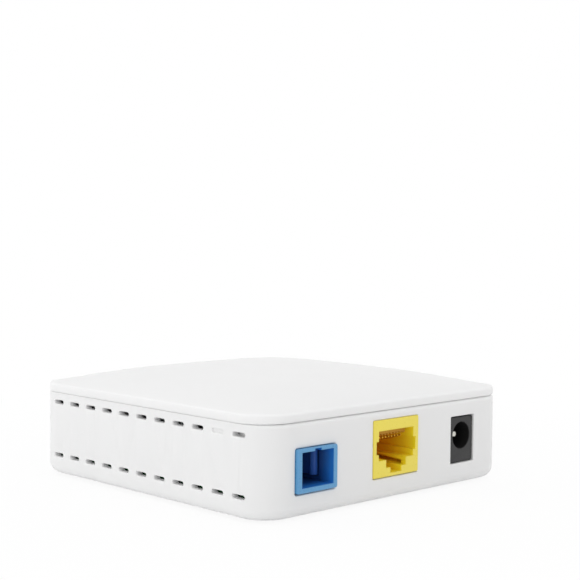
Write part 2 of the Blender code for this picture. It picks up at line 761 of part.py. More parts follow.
def make_optics():
    half = OPTICS_SIDE / 2
    start = FIBRE_REAR + SEAT_GAP
    end = start + OPTICS_LENGTH
    body = box((FIBRE_X - half, start, FIBRE_AXIS_Z - half), (FIBRE_X + half, end, FIBRE_AXIS_Z + half))
    bevel(body, edges_along(body, 1), half / 4, 2)
    part("optics_body", body, NICKEL)
    can("laser_can", (FIBRE_X, end + SEAT_GAP, FIBRE_AXIS_Z), (0, 1, 0), LASER_CAN_LENGTH)
    can("photodiode_can", (FIBRE_X + half + SEAT_GAP, (start + end) / 2, FIBRE_AXIS_Z), (1, 0, 0),
        PHOTODIODE_CAN_LENGTH)


# Network jack

def make_lan_jack():
    left = LAN_X - LAN_WIDTH / 2
    right = LAN_X + LAN_WIDTH / 2
    body = box((left, LAN_FRONT, PARTS_SEAT), (right, LAN_REAR, LAN_TOP))
    housing = part("lan_jack_housing", body, YELLOW_PBT)
    steps = ((LAN_SLOT_WIDTH, LAN_SLOT_BOTTOM),
             (LAN_TAB_WIDTH, LAN_TAB_BOTTOM),
             (LAN_MOUTH_WIDTH, LAN_MOUTH_BOTTOM),
             (LAN_NOTCH_WIDTH, LAN_NOTCH_BOTTOM),
             (LAN_MOUTH_WIDTH, LAN_NOTCH_TOP))
    half_outline = []
    tops = [bottom for _, bottom in steps[1:]] + [LAN_MOUTH_TOP]
    for (width, bottom), top in zip(steps, tops):
        half_outline.append((width / 2, PARTS_SEAT + bottom))
        half_outline.append((width / 2, PARTS_SEAT + top))
    outline = [(LAN_X + x, z) for x, z in half_outline]
    outline += [(LAN_X - x, z) for x, z in reversed(half_outline)]
    cut(housing, "mouth", prism(outline, LAN_FRONT - OVERCUT, LAN_FRONT + LAN_MOUTH_DEPTH))


def carrier_bottom():
    return PARTS_SEAT + LAN_MOUTH_TOP - SEAT_GAP - CARRIER_THICK


def make_lan_carrier():
    start = LAN_FRONT + CARRIER_SETBACK
    half = CARRIER_WIDTH / 2
    bottom = carrier_bottom()
    end = start + CARRIER_LENGTH
    carrier = box((LAN_X - half, start, bottom), (LAN_X + half, end, bottom + CARRIER_THICK))
    part("lan_contact_carrier", carrier, YELLOW_PBT)


def make_lan_contacts():
    """Spring wires that slope back and down from the carrier's front edge, on one common pivot."""
    pivot = bpy.data.objects.new("lan_contact_pivot", None)
    start_y = LAN_FRONT + CARRIER_SETBACK + CONTACT_RADIUS
    start_z = carrier_bottom() - SEAT_GAP - CONTACT_RADIUS
    pivot.location = Vector((LAN_X, start_y, start_z)) * MM
    PARTS.objects.link(pivot)
    pivot.parent = TERMINAL
    first = -CONTACT_PITCH * (CONTACT_COUNT - 1) / 2
    route = ((0.0, 0.0), (CONTACT_RUN, -CONTACT_DROP), (CONTACT_RUN + CONTACT_TAIL, -CONTACT_DROP))
    for index in range(CONTACT_COUNT):
        curve = bpy.data.curves.new(f"lan_contact_{index + 1}", "CURVE")
        curve.dimensions = "3D"
        curve.bevel_depth = CONTACT_RADIUS * MM
        curve.bevel_resolution = 1
        curve.use_fill_caps = True
        spline = curve.splines.new("POLY")
        spline.points.add(len(route) - 1)
        for point, (y, z) in zip(spline.points, route):
            point.co = (0.0, y * MM, z * MM, 1.0)
        contact = bpy.data.objects.new(curve.name, curve)
        curve.materials.append(GOLD)
        PARTS.objects.link(contact)
        contact.parent = pivot
        contact.location = ((first + CONTACT_PITCH * index) * MM, 0.0, 0.0)


# Power socket

def dc_bore(radius, start_y, end_y):
    """A round bar on the axis of the power socket."""
    return cylinder(radius, (DC_X, start_y, DC_AXIS_Z), (DC_X, end_y, DC_AXIS_Z))


def make_dc_jack():
    left = DC_X - DC_WIDTH / 2
    right = DC_X + DC_WIDTH / 2
    body = box((left, DC_FRONT, PARTS_SEAT), (right, DC_REAR, PARTS_SEAT + DC_HEIGHT))
    housing = part("dc_jack_housing", body, DARK_NYLON)
    hole_end = DC_FRONT + DC_HOLE_DEPTH
    cut(housing, "hole", dc_bore(DC_HOLE_RADIUS, DC_FRONT - OVERCUT, hole_end))
    cut(housing, "pin_hole", dc_bore(DC_PIN_RADIUS + HOLE_CLEARANCE, hole_end - OVERCUT, DC_REAR + OVERCUT))
    half = DC_LEAF_WIDTH / 2 + HOLE_CLEARANCE
    pocket_bottom = DC_AXIS_Z - DC_HOLE_RADIUS - DC_LEAF_POCKET
    pocket_end = hole_end + DC_LEAF_POCKET_END
    pocket_start = hole_end - DC_LEAF_LENGTH - DC_LEAF_POCKET_END
    pocket_top = DC_AXIS_Z - DC_HOLE_RADIUS + DC_LEAF_POCKET_TOP
    cut(housing, "leaf_pocket", box((DC_X - half, pocket_start, pocket_bottom),
                                    (DC_X + half, pocket_end, pocket_top)))


def make_dc_pin():
    start = DC_FRONT + DC_PIN_SETBACK
    end = DC_REAR + DC_PIN_TAIL
    pin = dc_bore(DC_PIN_RADIUS, start, end)
    front = [edge for edge in pin.edges if all(vert.co.y < start + 1e-5 for vert in edge.verts)]
    part("dc_center_pin", bevel(pin, front, DC_PIN_RADIUS / 2, ROUND_STEPS), NICKEL)


def make_dc_spring():
    """A sloping leaf in the pocket under the hole, turning about its root at the back."""
    pocket_bottom = DC_AXIS_Z - DC_HOLE_RADIUS - DC_LEAF_POCKET
    root_z = pocket_bottom + SEAT_GAP
    root_y = DC_FRONT + DC_HOLE_DEPTH + DC_LEAF_POCKET_END - SEAT_GAP
    half = DC_LEAF_WIDTH / 2
    leaf = box((DC_X - half, root_y - DC_LEAF_LENGTH, root_z), (DC_X + half, root_y, root_z + DC_LEAF_THICK))
    pivot = Vector((DC_X, root_y, root_z))
    tilt = Matrix.Rotation(-radians(DC_LEAF_TILT), 3, "X")
    bmesh.ops.rotate(leaf, cent=pivot, matrix=tilt, verts=leaf.verts)
    part("dc_spring_contact", leaf, NICKEL, pivot)


# Status lights and light guide

def make_leds():
    for index, x in enumerate(led_places(), start=1):
        led = centred_box(LED_LENGTH, LED_WIDTH, x, LED_Y, PARTS_SEAT, LED_HEIGHT)
        part(f"status_led_{index}", led, LED_RESIN)


def make_light_guide():
    places = led_places()
    left = places[0] - GUIDE_POST_OFFSET
    right = places[-1] + GUIDE_POST_OFFSET
    bar = GUIDE_BAR / 2
    rail = box((left, LED_Y - bar, GUIDE_Z - bar), (right, LED_Y + bar, GUIDE_Z + bar))
    guide = part("light_guide", rail, CLEAR_PC)
    leg_bottom = PARTS_SEAT + LED_HEIGHT + SEAT_GAP
    leg_top = GUIDE_Z + GUIDE_LEG / 2
    legs = [centred_box(GUIDE_LEG, GUIDE_LEG, x, LED_Y, leg_bottom, leg_top - leg_bottom) for x in places]
    legs += [centred_box(GUIDE_POST, GUIDE_POST, x, LED_Y, PARTS_SEAT, GUIDE_RISE) for x in (left, right)]
    add(guide, "legs", gather(legs))
    end = BACK + GUIDE_PROUD
    tips = [cylinder(GUIDE_RADIUS, (x, LED_Y, GUIDE_Z), (x, end, GUIDE_Z), SMALL_STEPS) for x in places]
    add(guide, "tips", gather(tips))


# Reset switch

def reset_bar(radius, start_y, end_y):
    """A round bar on the axis of the reset button."""
    return cylinder(radius, (RESET_X, start_y, RESET_Z), (RESET_X, end_y, RESET_Z), SMALL_STEPS)


def make_reset_switch():
    rear = RESET_FACE - RESET_DEPTH
    half = RESET_WIDTH / 2
    body = part("reset_switch_body", box((RESET_X - half, rear, PARTS_SEAT),
                                         (RESET_X + half, RESET_FACE, PARTS_SEAT + RESET_HEIGHT)), DARK_NYLON)
    bore = PLUNGER_RADIUS + HOLE_CLEARANCE
    bore_end = RESET_FACE - PLUNGER_IN - PLUNGER_TRAVEL - SEAT_GAP
    cut(body, "plunger_hole", reset_bar(bore, bore_end, RESET_FACE + OVERCUT))
    plunger = reset_bar(PLUNGER_RADIUS, RESET_FACE - PLUNGER_IN, RESET_FACE + PLUNGER_OUT)
    part("reset_plunger", plunger, CHIP_RESIN, (RESET_X, RESET_FACE, RESET_Z))


# Parts on the board

def chip(name, x, y, width, depth, height, material=CHIP_RESIN, chamfer=0.2):
    body = centred_box(width, depth, x, y, PARTS_SEAT, height)
    bevel(body, edges_at_height(body, PARTS_SEAT + height), chamfer, 1)
    part(name, body, material)


def make_chips():
    chip("processor_chip", PROCESSOR_X, PROCESSOR_Y, PROCESSOR_SIDE, PROCESSOR_SIDE, PROCESSOR_HEIGHT)
    chip("flash_chip", FLASH_X, FLASH_Y, FLASH_LENGTH, FLASH_WIDTH, FLASH_HEIGHT)
    chip("laser_driver_chip", DRIVER_X, DRIVER_Y, DRIVER_SIDE, DRIVER_SIDE, DRIVER_HEIGHT)
    transformer_y = LAN_REAR + TRANSFORMER_GAP + TRANSFORMER_DEPTH / 2
    chip("lan_transformer", LAN_X, transformer_y, TRANSFORMER_WIDTH, TRANSFORMER_DEPTH, TRANSFORMER_HEIGHT)


def make_crystal():
    can_body = centred_box(CRYSTAL_LENGTH, CRYSTAL_WIDTH, CRYSTAL_X, CRYSTAL_Y, PARTS_SEAT, CRYSTAL_HEIGHT)
    bevel(can_body, edges_along(can_body, 2), CRYSTAL_END_ROUND, CORNER_STEPS // 2)
    bevel(can_body, edges_at_height(can_body, PARTS_SEAT + CRYSTAL_HEIGHT), CRYSTAL_TOP_ROUND, 2)
    part("crystal_can", can_body, ZINC)


def make_power_parts():
    capacitor_y = DC_REAR + DC_PIN_TAIL + CAPACITOR_GAP + CAPACITOR_RADIUS
    top = PARTS_SEAT + CAPACITOR_HEIGHT
    for index, side in enumerate((-1, 1), start=1):
        x = DC_X + side * CAPACITOR_SPREAD
        sleeve = cylinder(CAPACITOR_RADIUS, (x, capacitor_y, PARTS_SEAT), (x, capacitor_y, top))
        bevel(sleeve, edges_at_height(sleeve, top), CAPACITOR_RADIUS / 8, 2)
        part(f"electrolytic_capacitor_{index}", sleeve, ALUMINIUM)

    row_y = capacitor_y + CAPACITOR_RADIUS + POWER_ROW_GAP + INDUCTOR_SIDE / 2
    coil_x = DC_X + CAPACITOR_SPREAD
    coil = centred_box(INDUCTOR_SIDE, INDUCTOR_SIDE, coil_x, row_y, PARTS_SEAT, INDUCTOR_HEIGHT)
    bevel(coil, edges_along(coil, 2), INDUCTOR_CORNER, ROUND_STEPS)
    part("power_inductor", coil, FERRITE)
    chip_x = DC_X - CAPACITOR_SPREAD
    chip("converter_chip", chip_x, row_y, CONVERTER_LENGTH, CONVERTER_WIDTH, CONVERTER_HEIGHT)


make_bottom_housing()
make_top_cover()
make_feet()
make_board()
make_screws()
make_fibre_receptacle()
make_latch_holder()
make_latch_arms()
make_alignment_sleeve()
make_optics()
make_lan_jack()
make_lan_carrier()
make_lan_contacts()
make_dc_jack()
make_dc_pin()
make_dc_spring()
make_leds()
make_light_guide()
make_reset_switch()
make_chips()
make_crystal()
make_power_parts()
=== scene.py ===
# %% [markdown]
# # Dressing a small fibre terminal
#
# The part is a white plastic box about as wide as a coaster. A fibre plug, a network plug and a power plug
# go into its front, air passes through two rows of slots in each side, and the lid is slightly crowned. The
# CAD model is loaded first and stays where it is. Finer pieces are then built in its place, each one moving
# with the body of the CAD that it belongs to.

# %% Load the CAD frame
import math
from collections import namedtuple

import bmesh
import bpy
from mathutils import Matrix, Vector


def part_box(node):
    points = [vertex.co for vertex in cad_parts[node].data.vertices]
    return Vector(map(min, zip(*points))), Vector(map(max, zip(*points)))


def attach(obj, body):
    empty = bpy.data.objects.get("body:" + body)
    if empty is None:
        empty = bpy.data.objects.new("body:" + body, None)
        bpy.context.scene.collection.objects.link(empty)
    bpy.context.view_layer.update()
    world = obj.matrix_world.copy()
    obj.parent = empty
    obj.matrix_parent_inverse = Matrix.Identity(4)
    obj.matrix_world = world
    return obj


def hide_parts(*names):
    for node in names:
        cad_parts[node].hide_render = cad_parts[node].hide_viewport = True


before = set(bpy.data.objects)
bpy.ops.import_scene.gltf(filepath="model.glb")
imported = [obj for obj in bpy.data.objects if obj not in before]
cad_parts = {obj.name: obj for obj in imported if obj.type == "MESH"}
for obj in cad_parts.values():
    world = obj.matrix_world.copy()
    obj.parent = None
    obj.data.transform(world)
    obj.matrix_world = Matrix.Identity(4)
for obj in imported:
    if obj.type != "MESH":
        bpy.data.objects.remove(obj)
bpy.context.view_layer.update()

MM = 0.001
UP = (0, 0, 1)
BACKWARDS = (0, 1, 0)
Box = namedtuple("Box", "low high middle size")


def node_box(node):
    """Where a CAD node lies, in millimetres."""
    low, high = (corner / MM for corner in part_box(node))
    return Box(low, high, (low + high) / 2, high - low)


def numbered(stem, count):
    """The names of CAD nodes that differ only in a number."""
    return [f"{stem}_{number}" for number in range(1, count + 1)]


case = node_box("bottom_housing")
print("nodes:", len(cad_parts), "case:", [round(length, 2) for length in case.size], "mm")

# %% [markdown]
# ## The camera
#
# The camera was found by fitting the case's corners, slots and sockets, whose sizes are known, to where
# they appear in the picture. A fit like this gives a place, three turns and a focal length. The focal
# length is measured in pixels here, because that is what a fit gives, and turned into a lens for Blender's
# 36 mm sensor.

# %% Place the camera
IMAGE_SIDE = 580
SENSOR_WIDTH = 36.0
FOCAL_PIXELS = 1251.6
CAMERA_PLACE = (-212.69, -224.04, 60.08)
CAMERA_YAW = 44.33
CAMERA_PITCH = 2.63
CAMERA_ROLL = 0.53


def put(name, data):
    """A new object in the scene."""
    item = bpy.data.objects.new(name, data)
    bpy.context.scene.collection.objects.link(item)
    return item


def make_camera():
    lens = bpy.data.cameras.new("portrait_lens")
    lens.sensor_width = SENSOR_WIDTH
    lens.lens = FOCAL_PIXELS / IMAGE_SIDE * SENSOR_WIDTH
    place = Matrix.Translation(Vector(CAMERA_PLACE) * MM)
    for angle, axis in ((-CAMERA_YAW, "Z"), (90.0 - CAMERA_PITCH, "X"), (CAMERA_ROLL, "Z")):
        place = place @ Matrix.Rotation(math.radians(angle), 4, axis)
    camera = put("portrait_camera", lens)
    camera.matrix_world = place
    bpy.context.scene.camera = camera
    print("lens:", round(lens.lens, 2), "mm")


make_camera()

# %% [markdown]
# ## Helpers for every node tree
#
# A colour picked on a screen is sRGB, and Blender's shaders work with linear light, so one function
# converts a hex value. A second one adds any node, sets its properties and fills its inputs, with a value
# or with a link.

# %% Colour and node helpers
def linear(colour):
    """An sRGB hex colour as linear RGBA."""
    channels = [int(colour[place:place + 2], 16) / 255 for place in (1, 3, 5)]
    return [c / 12.92 if c <= 0.04045 else ((c + 0.055) / 1.055) ** 2.4 for c in channels] + [1.0]


def add(tree, kind, inputs=None, **settings):
    """Adds a node. An input is a value, an output socket to link from, or a node with one main output."""
    node = tree.nodes.new(kind)
    for name, value in settings.items():
        setattr(node, name, value)
    for name, value in (inputs or {}).items():
        if isinstance(value, bpy.types.Node):
            value = value.outputs[0]
        if isinstance(value, bpy.types.NodeSocket):
            tree.links.new(value, node.inputs[name])
        else:
            node.inputs[name].default_value = value
    return node


def empty_tree(owner):
    """The node tree of a material or a world, cleared."""
    owner.use_nodes = True
    owner.node_tree.nodes.clear()
    return owner.node_tree


def new_material(name):
    """An empty material, its tree and its Object coordinates."""
    material = bpy.data.materials.new(name)
    tree = empty_tree(material)
    return material, tree, add(tree, "ShaderNodeTexCoord").outputs["Object"]


print("middle grey in linear light:", round(linear("#808080")[0], 3))

# %% [markdown]
# ## The studio
#
# The picture is a bright product shot: white floor, white background, soft light from all round, and only a
# trace of shadow under the box. A white world gives most of the light, a little more from straight above
# than from the horizon. A lamp on the slotted side lifts that wall above the front, as in the picture. It
# is kept out of reflections, so that the lid has no glare from any side. The floor and the world show as
# plain white to the camera and in reflections, while the light that they throw on the box stays at its own
# level.

# %% Floor, world and lamp
WHITE = linear("#FFFFFF")
FLOOR_SIDE = 6000.0
SHADOW_SHARE = 0.10
SHADOW_REACH = (55.0, 160.0)
HORIZON_LEVEL = 0.81
ZENITH_LEVEL = 1.01
SIDE_LAMP = {"place": (-640.0, 0.0, 115.0), "size": 220.0, "power": 0.45}


def seen_plainly(tree):
    """One for rays that come from the camera, a reflection or clear plastic, and zero for the rest."""
    path = add(tree, "ShaderNodeLightPath").outputs
    seen = path["Is Camera Ray"]
    for kind in ("Is Glossy Ray", "Is Transmission Ray"):
        seen = add(tree, "ShaderNodeMath", {0: seen, 1: path[kind]}, operation="MAXIMUM")
    return seen


def make_floor():
    """White paper. Its own shading, with the shadow, shows near the box and fades out to plain white."""
    material, tree, place = new_material("paper_sweep_white")
    near, far = SHADOW_REACH
    distance = add(tree, "ShaderNodeVectorMath", {0: place}, operation="LENGTH").outputs["Value"]
    plain = add(tree, "ShaderNodeMapRange", {
        "Value": distance, "From Min": near * MM, "From Max": far * MM,
        "To Min": 1.0 - SHADOW_SHARE, "To Max": 1.0})
    share = add(tree, "ShaderNodeMath", {0: seen_plainly(tree), 1: plain}, operation="MULTIPLY")
    paper = add(tree, "ShaderNodeBsdfDiffuse", {"Color": linear("#FCFCFC")})
    glow = add(tree, "ShaderNodeEmission", {"Color": WHITE, "Strength": 1.0})
    mixed = add(tree, "ShaderNodeMixShader", {0: share, 1: paper, 2: glow})
    add(tree, "ShaderNodeOutputMaterial", {"Surface": mixed})
    half = FLOOR_SIDE / 2 * MM
    corners = [(-half, -half, 0.0), (half, -half, 0.0), (half, half, 0.0), (-half, half, 0.0)]
    mesh = bpy.data.meshes.new("studio_floor")
    mesh.from_pydata(corners, [], [(0, 1, 2, 3)])
    mesh.materials.append(material)
    put("studio_floor", mesh)


def make_world():
    world = bpy.data.worlds.new("white_studio")
    tree = empty_tree(world)
    upward = add(tree, "ShaderNodeSeparateXYZ", {0: add(tree, "ShaderNodeTexCoord").outputs["Generated"]})
    level = add(tree, "ShaderNodeMapRange", {
        "Value": upward.outputs["Z"], "To Min": HORIZON_LEVEL, "To Max": ZENITH_LEVEL})
    light = add(tree, "ShaderNodeBackground", {"Color": WHITE, "Strength": level})
    shown = add(tree, "ShaderNodeBackground", {"Color": WHITE, "Strength": 1.0})
    mixed = add(tree, "ShaderNodeMixShader", {0: seen_plainly(tree), 1: light, 2: shown})
    add(tree, "ShaderNodeOutputWorld", {"Surface": mixed})
    bpy.context.scene.world = world


def make_lamp(name, place, size, power):
    lamp = bpy.data.lights.new(name, "AREA")
    lamp.size = size * MM
    lamp.energy = power
    holder = put(name, lamp)
    holder.location = Vector(place) * MM
    holder.rotation_euler = (-Vector(place)).to_track_quat("-Z", "Y").to_euler()
    holder.visible_glossy = False


bpy.context.scene.view_settings.view_transform = "Standard"
make_floor()
make_world()
make_lamp("slot_side_softbox", **SIDE_LAMP)
print("lamps:", [item.name for item in bpy.data.lights])

# %% [markdown]
# ## Plastics
#
# The case and lid are ABS, moulded against steel that was roughened by sparks. That gives an even white
# with a fine matt grain and a soft sheen. The sockets are glass-filled PBT and nylon, which come out of the
# mould a little glossier and show faint flow marks. One function makes most skins, from two tones, a gloss
# range and a grain, and a second one fills it in for plastics. Light travels a little way inside white ABS,
# so that one can also let it glow. The depth of a socket has painted light and shade: a tone of its own,
# stronger in colour than its face, which can change further on the way in.

# %% Moulded plastics
GRAIN_SPAN = (0.3, 0.7)
GRAIN_DETAIL = 3.0
GRAIN_STRENGTH = 0.35
FLOW_MARKS = (14.0, 2.0)


def per(size):
    """How many times a pattern of that size in millimetres repeats in a metre."""
    return 1.0 / (size * MM)


def skin(name, tones, gloss, grain, relief=None, drift=None, painted_depth_shade=None, shading=None, span=GRAIN_SPAN):
    """A material whose tone drifts between two colours, and whose gloss and relief follow a grain.

    Grain and drift are a size in millimetres and a detail. Without a drift, the tone follows the grain.
    Relief is a depth and a strength, and span the part of the grain that takes the gloss from end to end.
    Painted depth shade is a colour that takes over between two places on the way to the back of the case:
    painted shade for the depth of a socket."""
    material, tree, place = new_material(name)
    grains, flow = (
        add(tree, "ShaderNodeTexNoise", {"Vector": place, "Scale": per(size), "Detail": detail})
        for size, detail in (grain, drift or grain))
    tone = add(tree, "ShaderNodeMix", {
        0: flow, 6: linear(tones[0]), 7: linear(tones[1])}, data_type="RGBA").outputs[2]
    # Painted shade: towards the back the tone turns into a darker colour, for the depth of a socket.
    if painted_depth_shade:
        colour, start, end = painted_depth_shade
        share = add(tree, "ShaderNodeMapRange", {
            "Value": add(tree, "ShaderNodeSeparateXYZ", {0: place}).outputs["Y"],
            "From Min": start * MM, "From Max": end * MM})
        tone = add(tree, "ShaderNodeMix", {
            0: share, 6: tone, 7: linear(colour)}, data_type="RGBA").outputs[2]
    shine = add(tree, "ShaderNodeMapRange", {
        "Value": grains, "From Min": span[0], "From Max": span[1], "To Min": gloss[0], "To Max": gloss[1]})
    inputs = {"Base Color": tone, "Roughness": shine, **(shading or {})}
    if relief:
        depth, strength = relief
        inputs["Normal"] = add(tree, "ShaderNodeBump", {
            "Height": grains, "Strength": strength, "Distance": depth * MM})
    add(tree, "ShaderNodeOutputMaterial", {"Surface": add(tree, "ShaderNodeBsdfPrincipled", inputs)})
    return material


def moulded(name, light, dark, gloss, grain_size, grain_depth, ior=1.54, glow=0.0, painted_depth_shade=None):
    """A moulded plastic. Glow is how far light travels inside it, in millimetres."""
    shading = {"IOR": ior}
    if glow:
        shading |= {"Subsurface Weight": 1.0, "Subsurface Scale": MM, "Subsurface Radius": (glow,) * 3}
    grain, relief = (grain_size, GRAIN_DETAIL), (grain_depth, GRAIN_STRENGTH)
    return skin(name, (light, dark), gloss, grain, relief, FLOW_MARKS, painted_depth_shade, shading)


# White ABS lets light in a little way, which softens its edges and brightens the sides of its slots.
WHITE_GLOW = 0.7
# Spark grain is about 0.1 mm on the real case, and is drawn at 0.3 mm so that it shows in the render.
case_white = moulded(
    "white_abs_moulded_spark_grain", "#EFEFEF", "#ECECEC", (0.40, 0.50), 0.30, 0.02, glow=WHITE_GLOW)
lid_white = moulded(
    "white_abs_moulded_satin", "#F1F1F1", "#EEEEEE", (0.36, 0.46), 0.30, 0.015, glow=WHITE_GLOW)
fibre_blue = moulded("blue_pbt_moulded", "#5B9DCC", "#5293C4", (0.26, 0.36), 0.4, 0.012, 1.58)
# Painted shade: the latch arms and holder are the socket's blue made deeper and darker, for their place
# inside it.
latch_painted_shade_navy = moulded("navy_pbt_moulded_painted_shade", "#2C63B6", "#285CAC", (0.48, 0.60), 0.4, 0.012, 1.58)
lan_yellow = moulded("yellow_pbt_moulded", "#F0DE52", "#EBD74A", (0.26, 0.36), 0.4, 0.012, 1.58)
socket_dark = moulded("dark_nylon_moulded", "#1B1B1B", "#171718", (0.40, 0.52), 0.35, 0.02, 1.53)
# Painted shade: a darker, rougher black that lines the power socket's hole.
socket_painted_shade_black = moulded("black_nylon_moulded_painted_shade", "#0A0A0A", "#080808", (0.60, 0.75), 0.35, 0.02, 1.45)
plunger_black = moulded("black_acetal_turned", "#1B1B1D", "#222224", (0.28, 0.36), 0.4, 0.008, 1.48)
foot_rubber = moulded("grey_silicone_rubber_cut", "#3E3E40", "#464648", (0.62, 0.78), 0.25, 0.02, 1.43)
print("plastics:", len([item for item in bpy.data.materials if "moulded" in item.name]))

# %% [markdown]
# ## Shapes from rings
#
# Most of the pieces are either a square with round corners or something turned on a lathe. Both are stacks
# of rings: points in order round an outline, at one height after another, joined by faces. A stack gives
# clean, even faces and exact fillets, which a Bevel on a cut mesh often doesn't. Holes are then cut with
# Booleans, whose cutters flare a little where they leave the surface, so that every hole has the small soft
# edge of a moulded one.

# %% Ring helpers
OVERCUT = 1.0


def outline(width, height, radius, corner_steps=8, side_steps=1):
    """Points round a rectangle with round corners, anticlockwise about zero."""
    arcs = []
    for corner, (across, along) in enumerate(((1, 1), (-1, 1), (-1, -1), (1, -1))):
        centre = Vector((across * (width / 2 - radius), along * (height / 2 - radius)))
        angles = [math.pi / 2 * (corner + step / corner_steps) for step in range(corner_steps + 1)]
        arcs.append([centre + radius * Vector((math.cos(a), math.sin(a))) for a in angles])
    points = []
    for arc, following in zip(arcs, arcs[1:] + arcs[:1]):
        points += arc
        points += [arc[-1].lerp(following[0], step / side_steps) for step in range(1, side_steps)]
    return points


def loft(rings):
    """A closed bmesh through rings of points, with a flat face at each end."""
    bm = bmesh.new()
    rows = [[bm.verts.new(point) for point in ring] for ring in rings]
    count = len(rows[0])
    for lower, upper in zip(rows, rows[1:]):
        for index in range(count):
            after = (index + 1) % count
            bm.faces.new((lower[index], lower[after], upper[after], upper[index]))
    bm.faces.new(list(reversed(rows[0])))
    bm.faces.new(rows[-1])
    bmesh.ops.recalc_face_normals(bm, faces=bm.faces)
    return bm


def turned(profile, start=(0.0, 0.0, 0.0), direction=UP, steps=40):
    """A lathe shape: profile holds distances along the axis, each with a radius."""
    axis = Vector(direction).normalized()
    side = axis.orthogonal().normalized()
    other = axis.cross(side)
    angles = [2 * math.pi * step / steps for step in range(steps)]
    turns = [math.cos(a) * side + math.sin(a) * other for a in angles]
    start = Vector(start)
    return loft([[start + axis * along + radius * turn for turn in turns] for along, radius in profile])


def quarter(radius, steps=4):
    """A quarter circle as (distance still to go, height gained) pairs, from the wall to the top."""
    angles = [math.pi / 2 * step / steps for step in range(steps + 1)]
    return [(radius * (1 - math.cos(a)), radius * math.sin(a)) for a in angles]


def stack(size, corner, levels, middle=(0.0, 0.0), corner_steps=3, shrink=0):
    """Round-cornered rectangles, lofted upwards. A level is an inset and a height.

    Shrink is how far the radius of the corners follows an inset, from 0 to 1."""
    rings = []
    for inset, z in levels:
        shape = outline(size[0] - 2 * inset, size[1] - 2 * inset, corner - shrink * inset, corner_steps)
        rings.append([(middle[0] + x, middle[1] + y, z) for x, y in shape])
    return loft(rings)


def funnel(start, depth, edge, radius=0.0):
    """The profile of a hole from outside to its depth, flared by an edge where it leaves the surface."""
    wide = radius + edge
    return [(start - OVERCUT, wide), (start, wide), (start + edge, radius), (start + depth, radius)]


def block(low, high):
    """A plain box."""
    bm = bmesh.new()
    bmesh.ops.create_cube(bm, size=1.0)
    bmesh.ops.scale(bm, vec=[b - a for a, b in zip(low, high)], verts=bm.verts)
    bmesh.ops.translate(bm, vec=[(a + b) / 2 for a, b in zip(low, high)], verts=bm.verts)
    return bm


def flared(shape, stations, place):
    """A cutter along its depth: shape(extra) is its outline, and a station is a depth and an extra."""
    return loft([[place(u, v, depth) for u, v in shape(extra)] for depth, extra in stations])


def joined(bms):
    """Several bmeshes as one."""
    whole = bmesh.new()
    for bm in bms:
        mesh = bpy.data.meshes.new("passing")
        bm.to_mesh(mesh)
        bm.free()
        whole.from_mesh(mesh)
        bpy.data.meshes.remove(mesh)
    return whole


print("points round a plain outline:", len(outline(2.0, 2.0, 0.5)))

# %% Object helpers
FACES_AXIS = 0.99999
SHARP_ANGLE = 35.0


def solid(name, bm, finish=None):
    """A bmesh in millimetres as an object in metres."""
    bmesh.ops.scale(bm, vec=(MM, MM, MM), verts=bm.verts)
    mesh = bpy.data.meshes.new(name)
    bm.to_mesh(mesh)
    bm.free()
    if finish:
        mesh.materials.append(finish)
    return put(name, mesh)


def in_millimetres(mesh):
    """A mesh in metres as a bmesh in millimetres."""
    bm = bmesh.new()
    bm.from_mesh(mesh)
    bmesh.ops.scale(bm, vec=(1 / MM, 1 / MM, 1 / MM), verts=bm.verts)
    return bm


def settle(piece):
    """Turns an object's modifiers into a plain mesh."""
    evaluated = piece.evaluated_get(bpy.context.evaluated_depsgraph_get())
    mesh = bpy.data.meshes.new_from_object(evaluated)
    spent = piece.data
    piece.modifiers.clear()
    piece.data = mesh
    bpy.data.meshes.remove(spent)


def carve(piece, tool, finish=None, operation="DIFFERENCE"):
    """Cuts a tool away from a piece, or joins it on. Its finish stays on the faces that it cut."""
    if isinstance(tool, bmesh.types.BMesh):
        tool = solid("tool", tool, finish)
    modifier = piece.modifiers.new("carve", "BOOLEAN")
    modifier.solver = "EXACT"
    modifier.material_mode = "TRANSFER"
    modifier.operation = operation
    modifier.object = tool
    settle(piece)
    bpy.data.objects.remove(tool)


def dress(piece, body, slot, *nodes):
    """The last step for a piece: its body, the nodes that it stands for, and its shading. The slot is not
    used.

    Shading is smooth between sharp edges, and a face square to an axis stays flat."""
    for face in piece.data.polygons:
        face.use_smooth = max(abs(part) for part in face.normal) < FACES_AXIS
    piece.data.set_sharp_from_angle(angle=math.radians(SHARP_ANGLE))
    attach(piece, body)
    if nodes:
        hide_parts(*nodes)
    print(piece.name, "faces:", len(piece.data.polygons))


# %% [markdown]
# ## Copies of one shape at marked points
#
# Slots, feet, screws, chip legs and the many small parts on the board are each one shape, repeated at many
# places and turns. The places go into a mesh of loose points with a turn stored on each, and one Geometry
# Nodes tree puts the shape on all of them.

# %% Helpers for Geometry Nodes
def new_tree(name, **inputs):
    """A Geometry Nodes tree with named inputs, and the sockets that they come from."""
    tree = bpy.data.node_groups.new(name, "GeometryNodeTree")
    tree.interface.new_socket("Geometry", in_out="OUTPUT", socket_type="NodeSocketGeometry")
    for label, kind in inputs.items():
        tree.interface.new_socket(label, in_out="INPUT", socket_type=f"NodeSocket{kind}")
    return tree, add(tree, "NodeGroupInput").outputs


def close_tree(tree, geometry, material):
    """Ends a tree: instances become real, and take one material."""
    real = add(tree, "GeometryNodeRealizeInstances", {"Geometry": geometry})
    painted = add(tree, "GeometryNodeSetMaterial", {"Geometry": real, "Material": material})
    add(tree, "NodeGroupOutput", {"Geometry": painted})
    return tree


def grown(name, tree, **values):
    """Runs a tree with these values on an empty mesh, and keeps the result as a plain mesh."""
    piece = put(name, bpy.data.meshes.new(name))
    modifier = piece.modifiers.new(tree.name, "NODES")
    modifier.node_group = tree
    for item in tree.interface.items_tree:
        if item.in_out == "INPUT":
            modifier[item.identifier] = values[item.name]
    settle(piece)
    return piece


